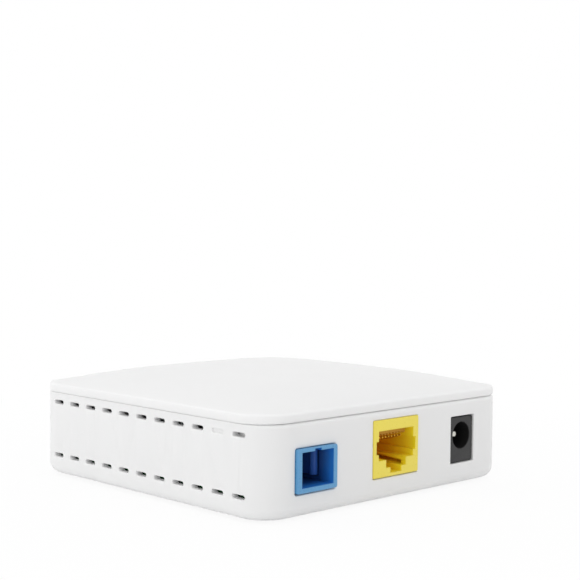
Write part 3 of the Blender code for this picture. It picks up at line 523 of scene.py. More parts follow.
# %% A tree for marked points
def marked_tree():
    tree, given = new_tree("shape_at_marked_points", points="Object", shape="Object", finish="Material")
    points = add(tree, "GeometryNodeObjectInfo", {"Object": given["points"]})
    shape = add(tree, "GeometryNodeObjectInfo", {"Object": given["shape"]})
    turn = add(tree, "GeometryNodeInputNamedAttribute", {"Name": "turn"}, data_type="FLOAT")
    about_z = add(tree, "ShaderNodeCombineXYZ", {"Z": turn.outputs["Attribute"]})
    spread = add(tree, "GeometryNodeInstanceOnPoints", {
        "Points": points.outputs["Geometry"], "Instance": shape.outputs["Geometry"], "Rotation": about_z})
    return close_tree(tree, spread, given["finish"])


shape_at_marked_points = marked_tree()
print("tree:", shape_at_marked_points.name)


def mark(mesh, name, values):
    """Stores a number on each point of a mesh."""
    mesh.attributes.new(name, "FLOAT", "POINT").data.foreach_set("value", values)


def copies(name, shape, places, finish):
    """A bmesh repeated at places, each an (x, y, z) in millimetres with a turn in degrees."""
    points = bpy.data.meshes.new("marks")
    points.from_pydata([Vector(place) * MM for place, _ in places], [], [])
    mark(points, "turn", [math.radians(turn) for _, turn in places])
    marks = put("marks", points)
    pattern = solid("pattern", shape)
    piece = grown(name, shape_at_marked_points, points=marks, shape=pattern, finish=finish)
    bpy.data.objects.remove(pattern)
    bpy.data.objects.remove(marks)
    return piece


def row(z, start, step, count, turn=0.0):
    """Places in a straight row at a height."""
    return [((start[0] + step[0] * index, start[1] + step[1] * index, z), turn) for index in range(count)]


def at_node(node, z):
    """The place over or under the middle of a CAD node."""
    middle = node_box(node).middle
    return (middle.x, middle.y, z)


# %% [markdown]
# ## Vent slots
#
# Air goes in and out through two rows of eleven round-ended slots in each side wall. A tool with twenty-two
# steel blades would form them in one stroke, and copies of one blade make that tool here. The blades run
# right through, so that one tool opens both side walls. One slot of the upper row is only a pale mark on
# the real case, so a web is put back behind it afterwards.

# %% The slot tool
VENT_COUNT = 11
VENT_PITCH = 6.52
VENT_LENGTH = 3.8
VENT_HEIGHT = 1.0
VENT_FIRST_Y = -33.35
VENT_ROWS_Z = (5.4, 18.35)
VENT_EDGE = 0.14
# A slot's ends stop a little short of a half circle, so that its outline never folds.
VENT_END_FLAT = 0.02
CLOSED_VENT = {"index": 1, "depth": 0.4, "thick": 1.2, "overlap": 0.3}


def vent_outline(extra, radius):
    return outline(VENT_LENGTH + 2 * extra, VENT_HEIGHT + 2 * extra, radius, 6)


def make_vent_tool():
    half = case.high.x
    soft = quarter(VENT_EDGE, 3)
    stations = [(-half - OVERCUT, VENT_EDGE)]
    stations += [(-half + VENT_EDGE - rise, edge) for edge, rise in reversed(soft)]
    stations += [(half - VENT_EDGE + rise, edge) for edge, rise in soft]
    stations += [(half + OVERCUT, VENT_EDGE)]
    blade = flared(
        lambda extra: vent_outline(extra, VENT_HEIGHT / 2 + extra - VENT_END_FLAT), stations,
        lambda u, v, depth: (depth, u, v))
    line = ((0.0, VENT_FIRST_Y), (0.0, VENT_PITCH), VENT_COUNT)
    return copies("slot_tool", blade, [place for z in VENT_ROWS_Z for place in row(z, *line)], case_white)


def closing_webs():
    """The web behind one slot of the upper row, in each wall, that leaves the slot only a shallow mark."""
    y = VENT_FIRST_Y + CLOSED_VENT["index"] * VENT_PITCH
    z = VENT_ROWS_Z[1]
    outer = case.high.x - CLOSED_VENT["depth"]
    shape = vent_outline(CLOSED_VENT["overlap"], VENT_HEIGHT / 2)
    ends = (outer, outer - CLOSED_VENT["thick"])
    return joined([loft([[(side * x, y + u, z + v) for u, v in shape] for x in ends]) for side in (-1, 1)])


vent_tool = make_vent_tool()
print("slot tool faces:", len(vent_tool.data.polygons))

# %% [markdown]
# ## The case
#
# The lower shell is a tray with upright walls, round corners and a large fillet under its edge. In Blender
# it could be a cube with Bevel and Solidify. Here it is a stack of rounded squares that climbs the outside,
# turns over the rim and goes down the inside, so that the wall, the fillets and the rim come out exact.
# Slots, sockets and feet are cut after.

# %% The tray of the case
CORNER_RADIUS = 7.75
SMALLEST_CORNER = 0.4
WALL = 1.8
FLOOR = 1.8
FLOOR_HUB = 2.0
BOTTOM_ROUND = 2.6
RIM_ROUND = 0.45
# Outside, the joint shows as a clear line along the port wall, and as a faint one along the slots.
FRONT_RIM_ROUND = 0.8
SIDE_RIM_ROUND = 0.22
# The CAD keeps 0.3 mm between case and lid so that they never touch. Here the joint is a hairline.
HALF_SEAM = 0.15
SEAM_CLOSER = 0.135


def square(inset):
    """The case's outline, moved inwards."""
    side = 2 * (case.high.x - inset)
    return outline(side, side, max(CORNER_RADIUS - inset, SMALLEST_CORNER), 12, 6)


def square_rings(levels):
    """The case's outline at several levels, each an inset and a height."""
    return [[(x, y, z) for x, y in square(inset)] for inset, z in levels]


def joint_edge(level, up):
    """Rings that round an outer rim off at a level. Up is 1 for the case's rim and -1 for the lid's."""
    rings = []
    for edge, rise in quarter(1.0, 5):
        ring = []
        for outer, inner in zip(square(0.0), square(FRONT_RIM_ROUND)):
            front_share = min(max((CORNER_RADIUS - case.high.x - outer.y) / CORNER_RADIUS, 0.0), 1.0)
            radius = SIDE_RIM_ROUND + (FRONT_RIM_ROUND - SIDE_RIM_ROUND) * front_share
            x, y = outer.lerp(inner, edge * radius / FRONT_RIM_ROUND)
            ring.append((x, y, level - up * radius * (1 - rise)))
        rings.append(ring)
    return rings


def make_tray():
    bottom = case.low.z
    rim = case.high.z + SEAM_CLOSER
    floor = bottom + FLOOR
    hub = case.high.x - FLOOR_HUB
    inner_round = BOTTOM_ROUND - WALL
    outside = [(hub, bottom)]
    outside += [(BOTTOM_ROUND - rise, bottom + edge) for edge, rise in quarter(BOTTOM_ROUND, 10)]
    inside = [(WALL - edge, rim - RIM_ROUND + rise) for edge, rise in reversed(quarter(RIM_ROUND))]
    inside += [(WALL + edge, floor + inner_round - rise) for edge, rise in quarter(inner_round, 5)]
    inside += [(hub, floor)]
    return loft(square_rings(outside) + joint_edge(rim, 1) + square_rings(inside))


case_shell = solid("case_shell", make_tray(), case_white)
carve(case_shell, vent_tool)
carve(case_shell, closing_webs(), case_white, "UNION")
print("case shell faces:", len(case_shell.data.polygons))

# %% [markdown]
# ## Openings in the case
#
# Each socket shows through its own opening in the front wall. The lights and the reset button have round
# holes at the back, and four shallow seats under the floor take the feet. The cutters flare by a tenth of a
# millimetre at the outer face. Screw bosses stand on the floor and hold up the board.

# %% Cut the openings
# For each socket: the gaps at its sides, below and above it, and the corner radius of the opening.
PORTS = {
    "fibre_receptacle": (0.14, 0.40, 0.14, 0.5),
    "lan_jack_housing": (0.06, 0.22, 0.06, 0.35),
    "dc_jack_housing": (0.10, 0.10, 0.28, 0.35)}
PORT_EDGE = 0.12
LIGHT_HOLE_RADIUS = 1.15
LIGHT_HOLE_DROP = 1.2
RESET_HOLE_RADIUS = 1.0
SEAT_RADIUS = 4.25
SEAT_EDGE = 0.1
BOSS_RADIUS = 2.6
BOSS_FOOT = ((-0.6, 0.3), (0.2, 0.1), (0.6, 0.0))
GAP = 0.3
board = node_box("main_board")
feet, screws, lights = (numbered(stem, 4) for stem in ("rubber_foot", "board_screw", "status_led"))


def facing(x, z=0.0):
    """A function that puts an outline on the front, about a place there, and takes it back to a depth."""
    return lambda u, v, depth: (x + u, depth, z + v)


def port_tool(node):
    """A cutter for the opening round a socket."""
    low, high, middle, size = node_box(node)
    side, below, above, radius = PORTS[node]
    width = size.x + 2 * side
    height = size.z + below + above
    return flared(
        lambda extra: outline(width + 2 * extra, height + 2 * extra, radius + extra, 5),
        funnel(case.low.y, WALL + OVERCUT, PORT_EDGE),
        facing(middle.x, (high.z + above + low.z - below) / 2))


def back_tool(x, z, radius):
    """A cutter for a round hole in the back wall, flared at the outer face."""
    profile = [(-depth, wide) for depth, wide in reversed(funnel(0.0, WALL + OVERCUT, PORT_EDGE, radius))]
    return turned(profile, (x, case.high.y, z), BACKWARDS, 32)


def cut_openings():
    carve(case_shell, joined([port_tool(node) for node in PORTS]))
    light_z = node_box("light_guide").high.z - LIGHT_HOLE_DROP
    reset = node_box("reset_plunger").middle
    holes = [back_tool(node_box(light).middle.x, light_z, LIGHT_HOLE_RADIUS) for light in lights]
    carve(case_shell, joined(holes + [back_tool(reset.x, reset.z, RESET_HOLE_RADIUS)]))
    seat = funnel(0.0, node_box(feet[0]).high.z + GAP - case.low.z, SEAT_EDGE, SEAT_RADIUS)
    carve(case_shell, joined([turned(seat, at_node(foot, case.low.z), UP, 48) for foot in feet]))
    floor = case.low.z + FLOOR
    boss = [(z, BOSS_RADIUS + extra) for z, extra in (*BOSS_FOOT, (board.low.z - GAP - floor, 0.0))]
    bosses = [turned(boss, at_node(screw, floor), UP, 32) for screw in screws]
    carve(case_shell, joined(bosses), operation="UNION")


cut_openings()
dress(case_shell, "base", "case_white", "bottom_housing")

# %% [markdown]
# ## The lid
#
# The lid's top is a pillow: highest in the middle, with all four edges straight and level where it meets
# the case. Its height follows a rule, the product of two curves that fall to zero at the edges. A lid with
# a flat top is made from rings first, and a Geometry Nodes tree then lifts each of its points by the rule,
# inside and out. A lip under the rim reaches into the case, and plain tongues go down inside the walls.

# %% Build the lid
# The solid's rim is as high, but its edge is rounder, 0.7 by 0.65 mm. The picture shows a crisp fold.
LID_SKIRT = 1.55
LID_EDGE_WIDTH = 0.35
LID_EDGE_RISE = 0.3
LID_CROWN = 4.0
LID_CROWN_POWER = 4.0
LID_WALL = 1.6
LID_RINGS = 24
LIP_INSET = 2.1
LIP_THICK = 1.2
LIP_BOTTOM = 19.0
SEAM_Z = 20.65
LID_BOTTOM = SEAM_Z + HALF_SEAM - SEAM_CLOSER
SHOULDER = SEAM_Z + HALF_SEAM + LID_SKIRT


def crown_tree():
    """Lifts the points of a shape by a rule, as far as the number stored on each of them says."""
    floats = dict.fromkeys(("half", "height", "power"), "Float")
    tree, given = new_tree("crowned_shape", shape="Object", finish="Material", **floats)
    shape = add(tree, "GeometryNodeObjectInfo", {"Object": given["shape"]})
    place = add(tree, "ShaderNodeSeparateXYZ", {0: add(tree, "GeometryNodeInputPosition")})
    share = add(tree, "GeometryNodeInputNamedAttribute", {"Name": "share"}, data_type="FLOAT")
    lift = add(tree, "ShaderNodeMath", {
        0: share.outputs["Attribute"], 1: given["height"]}, operation="MULTIPLY")
    for axis in "XY":
        fall = add(tree, "ShaderNodeMath", {0: place.outputs[axis], 1: given["half"]}, operation="DIVIDE")
        fall = add(tree, "ShaderNodeMath", {0: fall}, operation="ABSOLUTE")
        fall = add(tree, "ShaderNodeMath", {0: fall, 1: given["power"]}, operation="POWER")
        left = add(tree, "ShaderNodeMath", {0: 1.0, 1: fall}, operation="SUBTRACT")
        lift = add(tree, "ShaderNodeMath", {0: lift, 1: left}, operation="MULTIPLY")
    offset = add(tree, "ShaderNodeCombineXYZ", {"Z": lift})
    crowned = add(tree, "GeometryNodeSetPosition", {"Geometry": shape.outputs["Geometry"], "Offset": offset})
    return close_tree(tree, crowned, given["finish"])


def pillow(inset, shoulder):
    """Flat rings from a rim, over its round edge and in to the middle, each with its share of the crown."""
    levels = [(inset + LID_EDGE_WIDTH * edge, share) for edge, share in quarter(1.0, 8)[1:]]
    rings = [(square_rings([(edge, shoulder + LID_EDGE_RISE * share)])[0], share) for edge, share in levels]
    rim = rings[-1][0]
    sizes = [1 - step / LID_RINGS for step in range(1, LID_RINGS)]
    return rings + [([(x * size, y * size, z) for x, y, z in rim], 1.0) for size in sizes]


def make_lid():
    inside = LIP_INSET + LIP_THICK
    ceiling = SHOULDER - LID_WALL
    lip = [(inside, ceiling), (inside, LIP_BOTTOM), (LIP_INSET, LIP_BOTTOM), (LIP_INSET, LID_BOTTOM)]
    sides = square_rings(lip) + joint_edge(LID_BOTTOM, -1)[::-1] + square_rings([(0.0, SHOULDER)])
    rings = pillow(inside, ceiling)[::-1] + [(ring, 0.0) for ring in sides] + pillow(0.0, SHOULDER)
    flat = solid("flat_lid", loft([ring for ring, _ in rings]))
    mark(flat.data, "share", [share for ring, share in rings for _ in ring])
    lid = grown(
        "lid_shell", crown_tree(), shape=flat, half=case.high.x * MM, height=LID_CROWN * MM,
        power=LID_CROWN_POWER, finish=lid_white)
    bpy.data.objects.remove(flat)
    return lid


lid_shell = make_lid()
print("lid rises to", round(max(v.co.z for v in lid_shell.data.vertices) / MM, 2), "mm")

# %% Add the lid's tongues
TONGUE_THICK = 1.3
TONGUE_ROUND = 0.3
TONGUE_CORNER = 0.12
TONGUE_LINE = 38.15
TONGUE_SINK = 0.1
TONGUE_TOP = SHOULDER - TONGUE_SINK
# Where the middle of each tongue is, then how far it goes along x and along y.
TONGUES = (
    ((-13.8, -TONGUE_LINE), (6.0, TONGUE_THICK)),
    ((-26.0, TONGUE_LINE), (8.0, TONGUE_THICK)), ((-TONGUE_LINE, -29.4), (TONGUE_THICK, 9.7)),
    ((26.0, TONGUE_LINE), (8.0, TONGUE_THICK)), ((TONGUE_LINE, -29.4), (TONGUE_THICK, 9.7)))


def tongue(middle, size):
    """A tongue with a rounded lower end."""
    bottom = node_box("top_cover").low.z
    levels = [(edge, bottom + TONGUE_ROUND - rise) for edge, rise in reversed(quarter(TONGUE_ROUND, 3))]
    return stack(size, TONGUE_CORNER, levels + [(0.0, TONGUE_TOP)], middle)


carve(lid_shell, joined([tongue(*values) for values in TONGUES]), operation="UNION")
dress(lid_shell, "cover", "lid_white", "top_cover")

# %% [markdown]
# ## The fibre socket
#
# The blue socket takes a square fibre plug. Its mouth has a keyway in the top bar, so that the plug goes in
# one way round only. A mouth is drawn as steps on top of each other, each a width and a bottom, so that one
# function draws the mouths of both plug sockets. The body is a loft along its depth with a round front
# edge. The mouth is cut in two strokes: a small lead-in, then the full depth, whose painted shade is a
# deeper blue that sinks to navy round the latch arms. A cutter can carry a finish, which then stays on the
# walls that it cut, so the piece needs no second mesh inside it.

# %% Helpers for sockets
def socket_body(box, corner, front_round):
    """A socket's outer block, with round long edges and a round front edge."""
    stations = [(box.low.y + front_round - rise, -edge) for edge, rise in reversed(quarter(front_round))]
    return flared(
        lambda extra: outline(box.size.x + 2 * extra, box.size.z + 2 * extra, corner, 5),
        stations + [(box.high.y, 0.0)], facing(box.middle.x, box.middle.z))


def stepped(steps, top):
    """The outline of stacked steps, each a width and a bottom, as a function that grows it outwards."""
    def shape(extra):
        widths = [width for width, _ in steps]
        narrower = [False] + [after < before for before, after in zip(widths, widths[1:])]
        levels = [bottom + extra if less else bottom - extra for (_, bottom), less in zip(steps, narrower)]
        half = []
        for width, low, high in zip(widths, levels, levels[1:] + [top + extra]):
            half += [(width / 2 + extra, low), (width / 2 + extra, high)]
        return half + [(-x, z) for x, z in reversed(half)]
    return shape


def open_mouth(socket, box, steps, top, depth, lead_in, painted_shade_lining):
    """Cuts a mouth in two strokes: a flared lead-in in the socket's own plastic, then the depth, in a finish
    that paints its light and shade.
    """
    front = box.low.y
    shade_stations = [(front - OVERCUT, 0.0), (front + depth, 0.0)]
    for stations, finish in ((funnel(front, depth, lead_in)[:3], None), (shade_stations, painted_shade_lining)):
        carve(socket, flared(stepped(steps, top), stations, facing(box.middle.x)), finish)


# %% Build the fibre socket
FIBRE_ROUND = 0.4
FIBRE_FRONT_ROUND = 0.3
FIBRE_STEPS = ((9.4, 6.9), (1.9, 14.4))
FIBRE_MOUTH_TOP = 14.9
FIBRE_BACK_WALL = 1.8
FIBRE_LEAD_IN = 0.1
# Between these depths from the front, the lining's painted shade turns from deep blue to navy.
FIBRE_PAINTED_SHADE_DEPTH = (1.0, 4.4)
LATCH_ROOM = {"half": 5.25, "start": -37.3, "end": -28.9, "bottom": 7.7, "top": 14.3}
SLEEVE_GAP = 0.15
fibre = node_box("fibre_receptacle")
sleeve = node_box("alignment_sleeve")
# Painted shade: the mouth's walls are a deeper blue than the face, darkening to navy further in.
fibre_lining_painted_shade = moulded(
    "blue_pbt_moulded_painted_depth_shade", "#2B84DC", "#267BD2", (0.30, 0.40), 0.4, 0.012, 1.58,
    painted_depth_shade=("#1C447F", *[fibre.low.y + depth for depth in FIBRE_PAINTED_SHADE_DEPTH]))


def make_fibre_socket():
    x = fibre.middle.x
    depth = fibre.size.y - FIBRE_BACK_WALL
    socket = solid("fibre_socket", socket_body(fibre, FIBRE_ROUND, FIBRE_FRONT_ROUND), fibre_blue)
    open_mouth(socket, fibre, FIBRE_STEPS, FIBRE_MOUTH_TOP, depth, FIBRE_LEAD_IN, fibre_lining_painted_shade)
    half, start, end, bottom, top = LATCH_ROOM.values()
    carve(socket, block((x - half, start, bottom), (x + half, end, top)), fibre_lining_painted_shade)
    bore = sleeve.size.x / 2 + SLEEVE_GAP
    profile = [(-OVERCUT, bore), (FIBRE_BACK_WALL + OVERCUT, bore)]
    carve(socket, turned(profile, (x, fibre.low.y + depth, sleeve.middle.z), BACKWARDS))
    return socket


dress(make_fibre_socket(), "base", "fibre_blue", "fibre_receptacle")

# %% [markdown]
# ## The network jack
#
# The yellow jack is mounted with its latch side down. Its mouth narrows downwards in steps: the plug's
# body, the ledge that the latch tab slides under, and the slot for the tab itself. Two shallow grooves in
# the side walls guide the plug, and behind the front lip a recess on each side lets the tab spring out.

# %% Build the network jack
LAN_ROUND = 0.3
LAN_FRONT_ROUND = 0.2
LAN_PLUG_STEPS = ((11.7, 9.6), (13.2, 11.0), (11.7, 13.9))
LAN_MOUTH_TOP = 16.2
LAN_TAB_STEPS = ((3.7, 6.55), (6.7, 7.8))
LAN_OVERLAP = 0.2
LAN_MOUTH_DEPTH = 12.5
LAN_LEAD_IN = 0.12
# Over this depth from the front, the lining's painted shade turns from bright yellow to amber.
LAN_PAINTED_SHADE_DEPTH = 9.0
# The recess reaches out from the middle. It has a depth and a bottom at its front end, and at its back end.
TAB_WINDOW = {"reach": 5.9, "height": 1.0, "ends": ((1.5, 7.75), (11.0, 8.3))}
lan = node_box("lan_jack_housing")
# Painted light and shade: the mouth's walls are a brighter yellow than the face, deepening to amber further
# in.
lan_lining_painted_light_and_shade = moulded(
    "yellow_pbt_moulded_painted_light_and_shade", "#FFF030", "#FFEC2C", (0.34, 0.44), 0.4, 0.012, 1.58,
    painted_depth_shade=("#FFC010", lan.low.y, lan.low.y + LAN_PAINTED_SHADE_DEPTH))


def tab_window(side):
    """The recess behind the front lip where the latch tab springs out. It climbs towards the back."""
    inner = lan.middle.x + side * (LAN_TAB_STEPS[1][0] / 2 - LAN_OVERLAP)
    outer = lan.middle.x + side * TAB_WINDOW["reach"]
    rings = []
    for depth, bottom in TAB_WINDOW["ends"]:
        top = bottom + TAB_WINDOW["height"]
        ring = ((inner, bottom), (outer, bottom), (outer, top), (inner, top))
        rings.append([(x, lan.low.y + depth, z) for x, z in ring])
    return loft(rings)


def make_lan_jack():
    jack = solid("network_jack", socket_body(lan, LAN_ROUND, LAN_FRONT_ROUND), lan_yellow)
    tab_top = LAN_PLUG_STEPS[0][1] + LAN_OVERLAP
    for steps, top in ((LAN_PLUG_STEPS, LAN_MOUTH_TOP), (LAN_TAB_STEPS, tab_top)):
        open_mouth(jack, lan, steps, top, LAN_MOUTH_DEPTH, LAN_LEAD_IN, lan_lining_painted_light_and_shade)
    carve(jack, joined([tab_window(side) for side in (-1, 1)]), lan_lining_painted_light_and_shade)
    return jack


dress(make_lan_jack(), "base", "lan_yellow", "lan_jack_housing")

# %% [markdown]
# ## The power socket
#
# A dark nylon block with one round hole. A round pin stands in the middle of the hole, and a leaf spring
# below it touches the outside of the plug's barrel.

# %% Build the power socket
DC_ROUND = 0.5
DC_FRONT_ROUND = 0.25
DC_HOLE_RADIUS = 3.2
DC_HOLE_DEPTH = 9.7
DC_LEAD_IN = 0.12
DC_PIN_HOLE = 1.1
LEAF_GAP = Vector((0.2, 0.2, 0.2))
LEAF_FRONT_GAP = 0.6
LEAF_ROOM_TOP = 0.8
dc, pin, leaf = (node_box(node) for node in ("dc_jack_housing", "dc_center_pin", "dc_spring_contact"))


def make_dc_socket():
    socket = solid("power_socket", socket_body(dc, DC_ROUND, DC_FRONT_ROUND), socket_dark)
    front = (dc.middle.x, dc.low.y, pin.middle.z)
    entry = funnel(0.0, DC_HOLE_DEPTH, DC_LEAD_IN, DC_HOLE_RADIUS)[:3]
    hole = [(-OVERCUT, DC_HOLE_RADIUS), (DC_HOLE_DEPTH, DC_HOLE_RADIUS)]
    pin_hole = [(DC_HOLE_DEPTH - OVERCUT, DC_PIN_HOLE), (dc.size.y + OVERCUT, DC_PIN_HOLE)]
    # The hole's walls take the darker black: painted shade inside the hole.
    for profile, steps, finish in ((entry, 56, None), (hole, 56, socket_painted_shade_black), (pin_hole, 40, None)):
        carve(socket, turned(profile, front, BACKWARDS, steps), finish)
    low, high = leaf.low - LEAF_GAP, leaf.high + LEAF_GAP
    low.y = leaf.low.y - LEAF_FRONT_GAP
    high.z = pin.middle.z - DC_HOLE_RADIUS + LEAF_ROOM_TOP
    carve(socket, block(low, high))
    return socket


dress(make_dc_socket(), "base", "socket_dark", "dc_jack_housing")

# %% [markdown]
# ## Metals
#
# Nickel, zinc and tin plating are bright with faint mottling, gold plating on the contacts is warm and
# smooth, and drawn aluminium is left bare. A metal's colour is its reflection, so the base colours are
# light and the roughness does the rest. The same kind of skin serves for them all, with two tones, a gloss
# range and the size of the mottling.

# %% Metal finishes
MOTTLE_DETAIL = 4.0
RIPPLE_STRENGTH = 0.3


def plated(name, light, dark, gloss, mottle_size, ripple):
    """A metal with patches of slightly different tone and gloss, and a fine ripple."""
    mottle, relief = (mottle_size, MOTTLE_DETAIL), (ripple, RIPPLE_STRENGTH)
    return skin(name, (light, dark), gloss, mottle, relief, shading={"Metallic": 1.0})


screw_steel = plated("steel_zinc_plated", "#C9CCD0", "#B4B8BE", (0.24, 0.38), 0.6, 0.006)
contact_gold = plated("bronze_gold_plated", "#DEAE40", "#D29E34", (0.26, 0.38), 0.5, 0.003)
contact_nickel = plated("brass_nickel_plated", "#D6D4CC", "#C4C2BA", (0.16, 0.28), 0.5, 0.003)
optics_metal = plated("zinc_casting_nickel_plated", "#C8C6C0", "#B3B1AB", (0.26, 0.40), 0.8, 0.010)
crystal_steel = plated("steel_drawn_nickel_plated", "#CBCBC8", "#BDBDBA", (0.20, 0.32), 1.2, 0.006)
lead_tin = plated("copper_tin_plated", "#C6C8CB", "#B2B5BA", (0.30, 0.44), 0.4, 0.006)
capacitor_aluminium = plated("aluminium_drawn_bare", "#D9DADC", "#CFD0D3", (0.26, 0.36), 1.0, 0.004)
print("metals:", [item.name for item in bpy.data.materials if "plated" in item.name])

# %% [markdown]
# ## Inside the fibre socket
#
# Two springy arms with hooked tips hold the plug, and a ceramic sleeve between them lines up the fibre
# ends. The arms and their holder have the right shape in the CAD already. A copy with its loose triangles
# merged and its edges rounded is all that they need. The sleeve is turned, with a slit along one side that
# lets it grip.

# %% Rounded copies of CAD pieces
MERGE_DISTANCE = 0.0005
FLAT_ANGLE = 1.0
EDGE_ANGLE = 40.0


def softened(node, radius, steps=2):
    """A copy of a CAD node's mesh with its sharp edges rounded, in millimetres."""
    bm = in_millimetres(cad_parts[node].data)
    bmesh.ops.remove_doubles(bm, verts=bm.verts, dist=MERGE_DISTANCE)
    bmesh.ops.dissolve_limit(bm, angle_limit=math.radians(FLAT_ANGLE), verts=bm.verts, edges=bm.edges)
    limit = math.radians(EDGE_ANGLE)
    sharp = [edge for edge in bm.edges if len(edge.link_faces) == 2 and edge.calc_face_angle() > limit]
    bmesh.ops.bevel(
        bm, geom=sharp, offset=radius, segments=steps, profile=0.5, affect="EDGES", clamp_overlap=True)
    return bm


def dress_copy(name, node, radius, finish, body, slot, steps=2):
    """Dresses a piece that is its CAD node with rounded edges."""
    dress(solid(name, softened(node, radius, steps), finish), body, slot, node)


# The arms and holder take the darker blue that paints the shade inside the socket.
for side in ("left", "right"):
    dress_copy(f"fibre_latch_{side}", f"latch_arm_{side}", 0.12, latch_painted_shade_navy, f"{side}_latch", "latch_blue")
dress_copy("fibre_latch_holder", "latch_holder", 0.15, latch_painted_shade_navy, "base", "latch_blue")

# %% The ceramic sleeve
SLEEVE_BORE = 1.25
SLEEVE_LEAD_IN = 0.15
SLEEVE_EDGE = 0.2
SLIT = {"half": 0.12, "rest": 2.2}
# Zirconia, pressed and fired: warm white, dense and smooth.
sleeve_ceramic = skin(
    "zirconia_fired_polished", ("#F3EFE4", "#E9E3D4"), (0.18, 0.18), (1.5, 3.0), shading={"IOR": 2.1})


def make_sleeve():
    x, z = fibre.middle.x, sleeve.middle.z
    radius, length = sleeve.size.x / 2, sleeve.size.y
    start = (x, sleeve.low.y, z)
    profile = [(SLEEVE_EDGE - rise, radius - edge) for edge, rise in reversed(quarter(SLEEVE_EDGE))]
    profile.append((length, radius))
    tube = solid("ferrule_sleeve", turned(profile, start, BACKWARDS, 48), sleeve_ceramic)
    carve(tube, turned(funnel(0.0, length + OVERCUT, SLEEVE_LEAD_IN, SLEEVE_BORE), start, BACKWARDS))
    slit_low = (x - SLIT["half"], sleeve.low.y - OVERCUT, z)
    carve(tube, block(slit_low, (x + SLIT["half"], sleeve.high.y - SLIT["rest"], z + 2 * radius)))
    return tube


dress(make_sleeve(), "base", "sleeve_ceramic", "alignment_sleeve")

# %% [markdown]
# ## Network contacts
#
# Eight gold wires leave the front edge of a comb and slope back and down into the mouth. Each one follows a
# path, so Geometry Nodes sweeps a circle along a bent curve and repeats it across the jack.

# %% Sweep the contacts
CONTACT_COUNT = 8
CONTACT_PITCH = 1.02
CONTACT_RADIUS = 0.2
CONTACT_BEND = (0.62, 0.98)
CONTACT_TIP_GAP = 0.05
WIRE_STEPS = 14
WIRE_SIDES = 12


def wire_tree():
    vectors = dict.fromkeys(("pitch", "start", "bend", "tip"), "Vector")
    tree, given = new_tree("spring_wires", count="Int", radius="Float", finish="Material", **vectors)
    path = add(tree, "GeometryNodeCurveQuadraticBezier", {
        "Resolution": WIRE_STEPS, "Start": (0.0, 0.0, 0.0), "Middle": given["bend"], "End": given["tip"]})
    circle = add(tree, "GeometryNodeCurvePrimitiveCircle", {
        "Resolution": WIRE_SIDES, "Radius": given["radius"]})
    wire = add(tree, "GeometryNodeCurveToMesh", {"Curve": path, "Profile Curve": circle, "Fill Caps": True})
    line = add(tree, "GeometryNodeMeshLine", {
        "Count": given["count"], "Offset": given["pitch"], "Start Location": given["start"]})
    spread = add(tree, "GeometryNodeInstanceOnPoints", {"Points": line, "Instance": wire})
    return close_tree(tree, spread, given["finish"])


spring_wires = wire_tree()


def wires(name, count, radius, **paths):
    """Bent gold wires in a row. Paths are the row's pitch and start, and a wire's bend and tip."""
    vectors = {label: Vector(path) * MM for label, path in paths.items()}
    return grown(name, spring_wires, count=count, radius=radius * MM, finish=contact_gold, **vectors)


def make_contacts():
    low, high, middle, _ = node_box("lan_contact_1")
    start = Vector((middle.x, low.y + CONTACT_RADIUS, high.z - CONTACT_RADIUS))
    tip = Vector((0.0, high.y - start.y - CONTACT_TIP_GAP, low.z + CONTACT_RADIUS - start.z))
    bend = (0.0, CONTACT_BEND[0] * tip.y, CONTACT_BEND[1] * tip.z)
    return wires(
        "network_contacts", CONTACT_COUNT, CONTACT_RADIUS, pitch=(CONTACT_PITCH, 0.0, 0.0), start=start,
        bend=bend, tip=tip)


dress(make_contacts(), "lan_contacts", "contact_gold", *numbered("lan_contact", CONTACT_COUNT))

# %% The comb that holds the contacts
COMB_GAP = {"half": 0.3, "height": 0.35, "rest": 1.6}
# Painted shade: the comb is the jack's yellow deepened to amber, for its place deep inside the jack.
comb_painted_shade_amber = moulded("amber_nylon_moulded_painted_shade", "#BC840C", "#B57D0A", (0.62, 0.74), 0.35, 0.012, 1.53)


def make_comb():
    low, high = node_box("lan_contact_carrier")[:2]
    comb = solid("contact_comb", softened("lan_contact_carrier", 0.1), comb_painted_shade_amber)
    half, height, rest = COMB_GAP.values()
    gap = block((-half, low.y - OVERCUT, low.z - OVERCUT), (half, high.y - rest, low.z + height))
    first = (lan.middle.x - CONTACT_PITCH * (CONTACT_COUNT - 1) / 2, 0.0)
    carve(comb, copies("comb_gaps", gap, row(0.0, first, (CONTACT_PITCH, 0.0), CONTACT_COUNT), comb_painted_shade_amber))
    return comb


dress(make_comb(), "base", "lan_yellow", "lan_contact_carrier")

# %% [markdown]
# ## Pin and leaf of the power socket
#
# The pin is turned brass with a domed tip. The leaf is a strip that was cut and bent, so a softened copy of
# the CAD piece does for it.

# %% Turn the pin
PIN_DOME = 0.8
PIN_CHAMFER = 0.15
# A turned shape that closes on its axis ends in a ring this small.
AXIS_RADIUS = 0.02


def make_pin():
    radius, length = pin.size.x / 2, pin.size.y
    profile = [(0.0, AXIS_RADIUS)]
    profile += [(PIN_DOME * radius * edge, radius * rise) for edge, rise in quarter(1.0, 8)[1:]]
    profile += [(length - PIN_CHAMFER, radius), (length, radius - PIN_CHAMFER)]
    return turned(profile, (dc.middle.x, pin.low.y, pin.middle.z), BACKWARDS, 32)


dress(solid("power_pin", make_pin(), contact_nickel), "base", "contact_nickel", "dc_center_pin")
dress_copy("power_leaf", "dc_spring_contact", 0.1, contact_nickel, "dc_leaf", "contact_nickel")

# %% [markdown]
# ## Feet and board screws
#
# The feet are rubber discs with a shallow dish in the face that touches the table. The screws have a low
# round head with a cross in it, and each one is turned differently, as screws are.

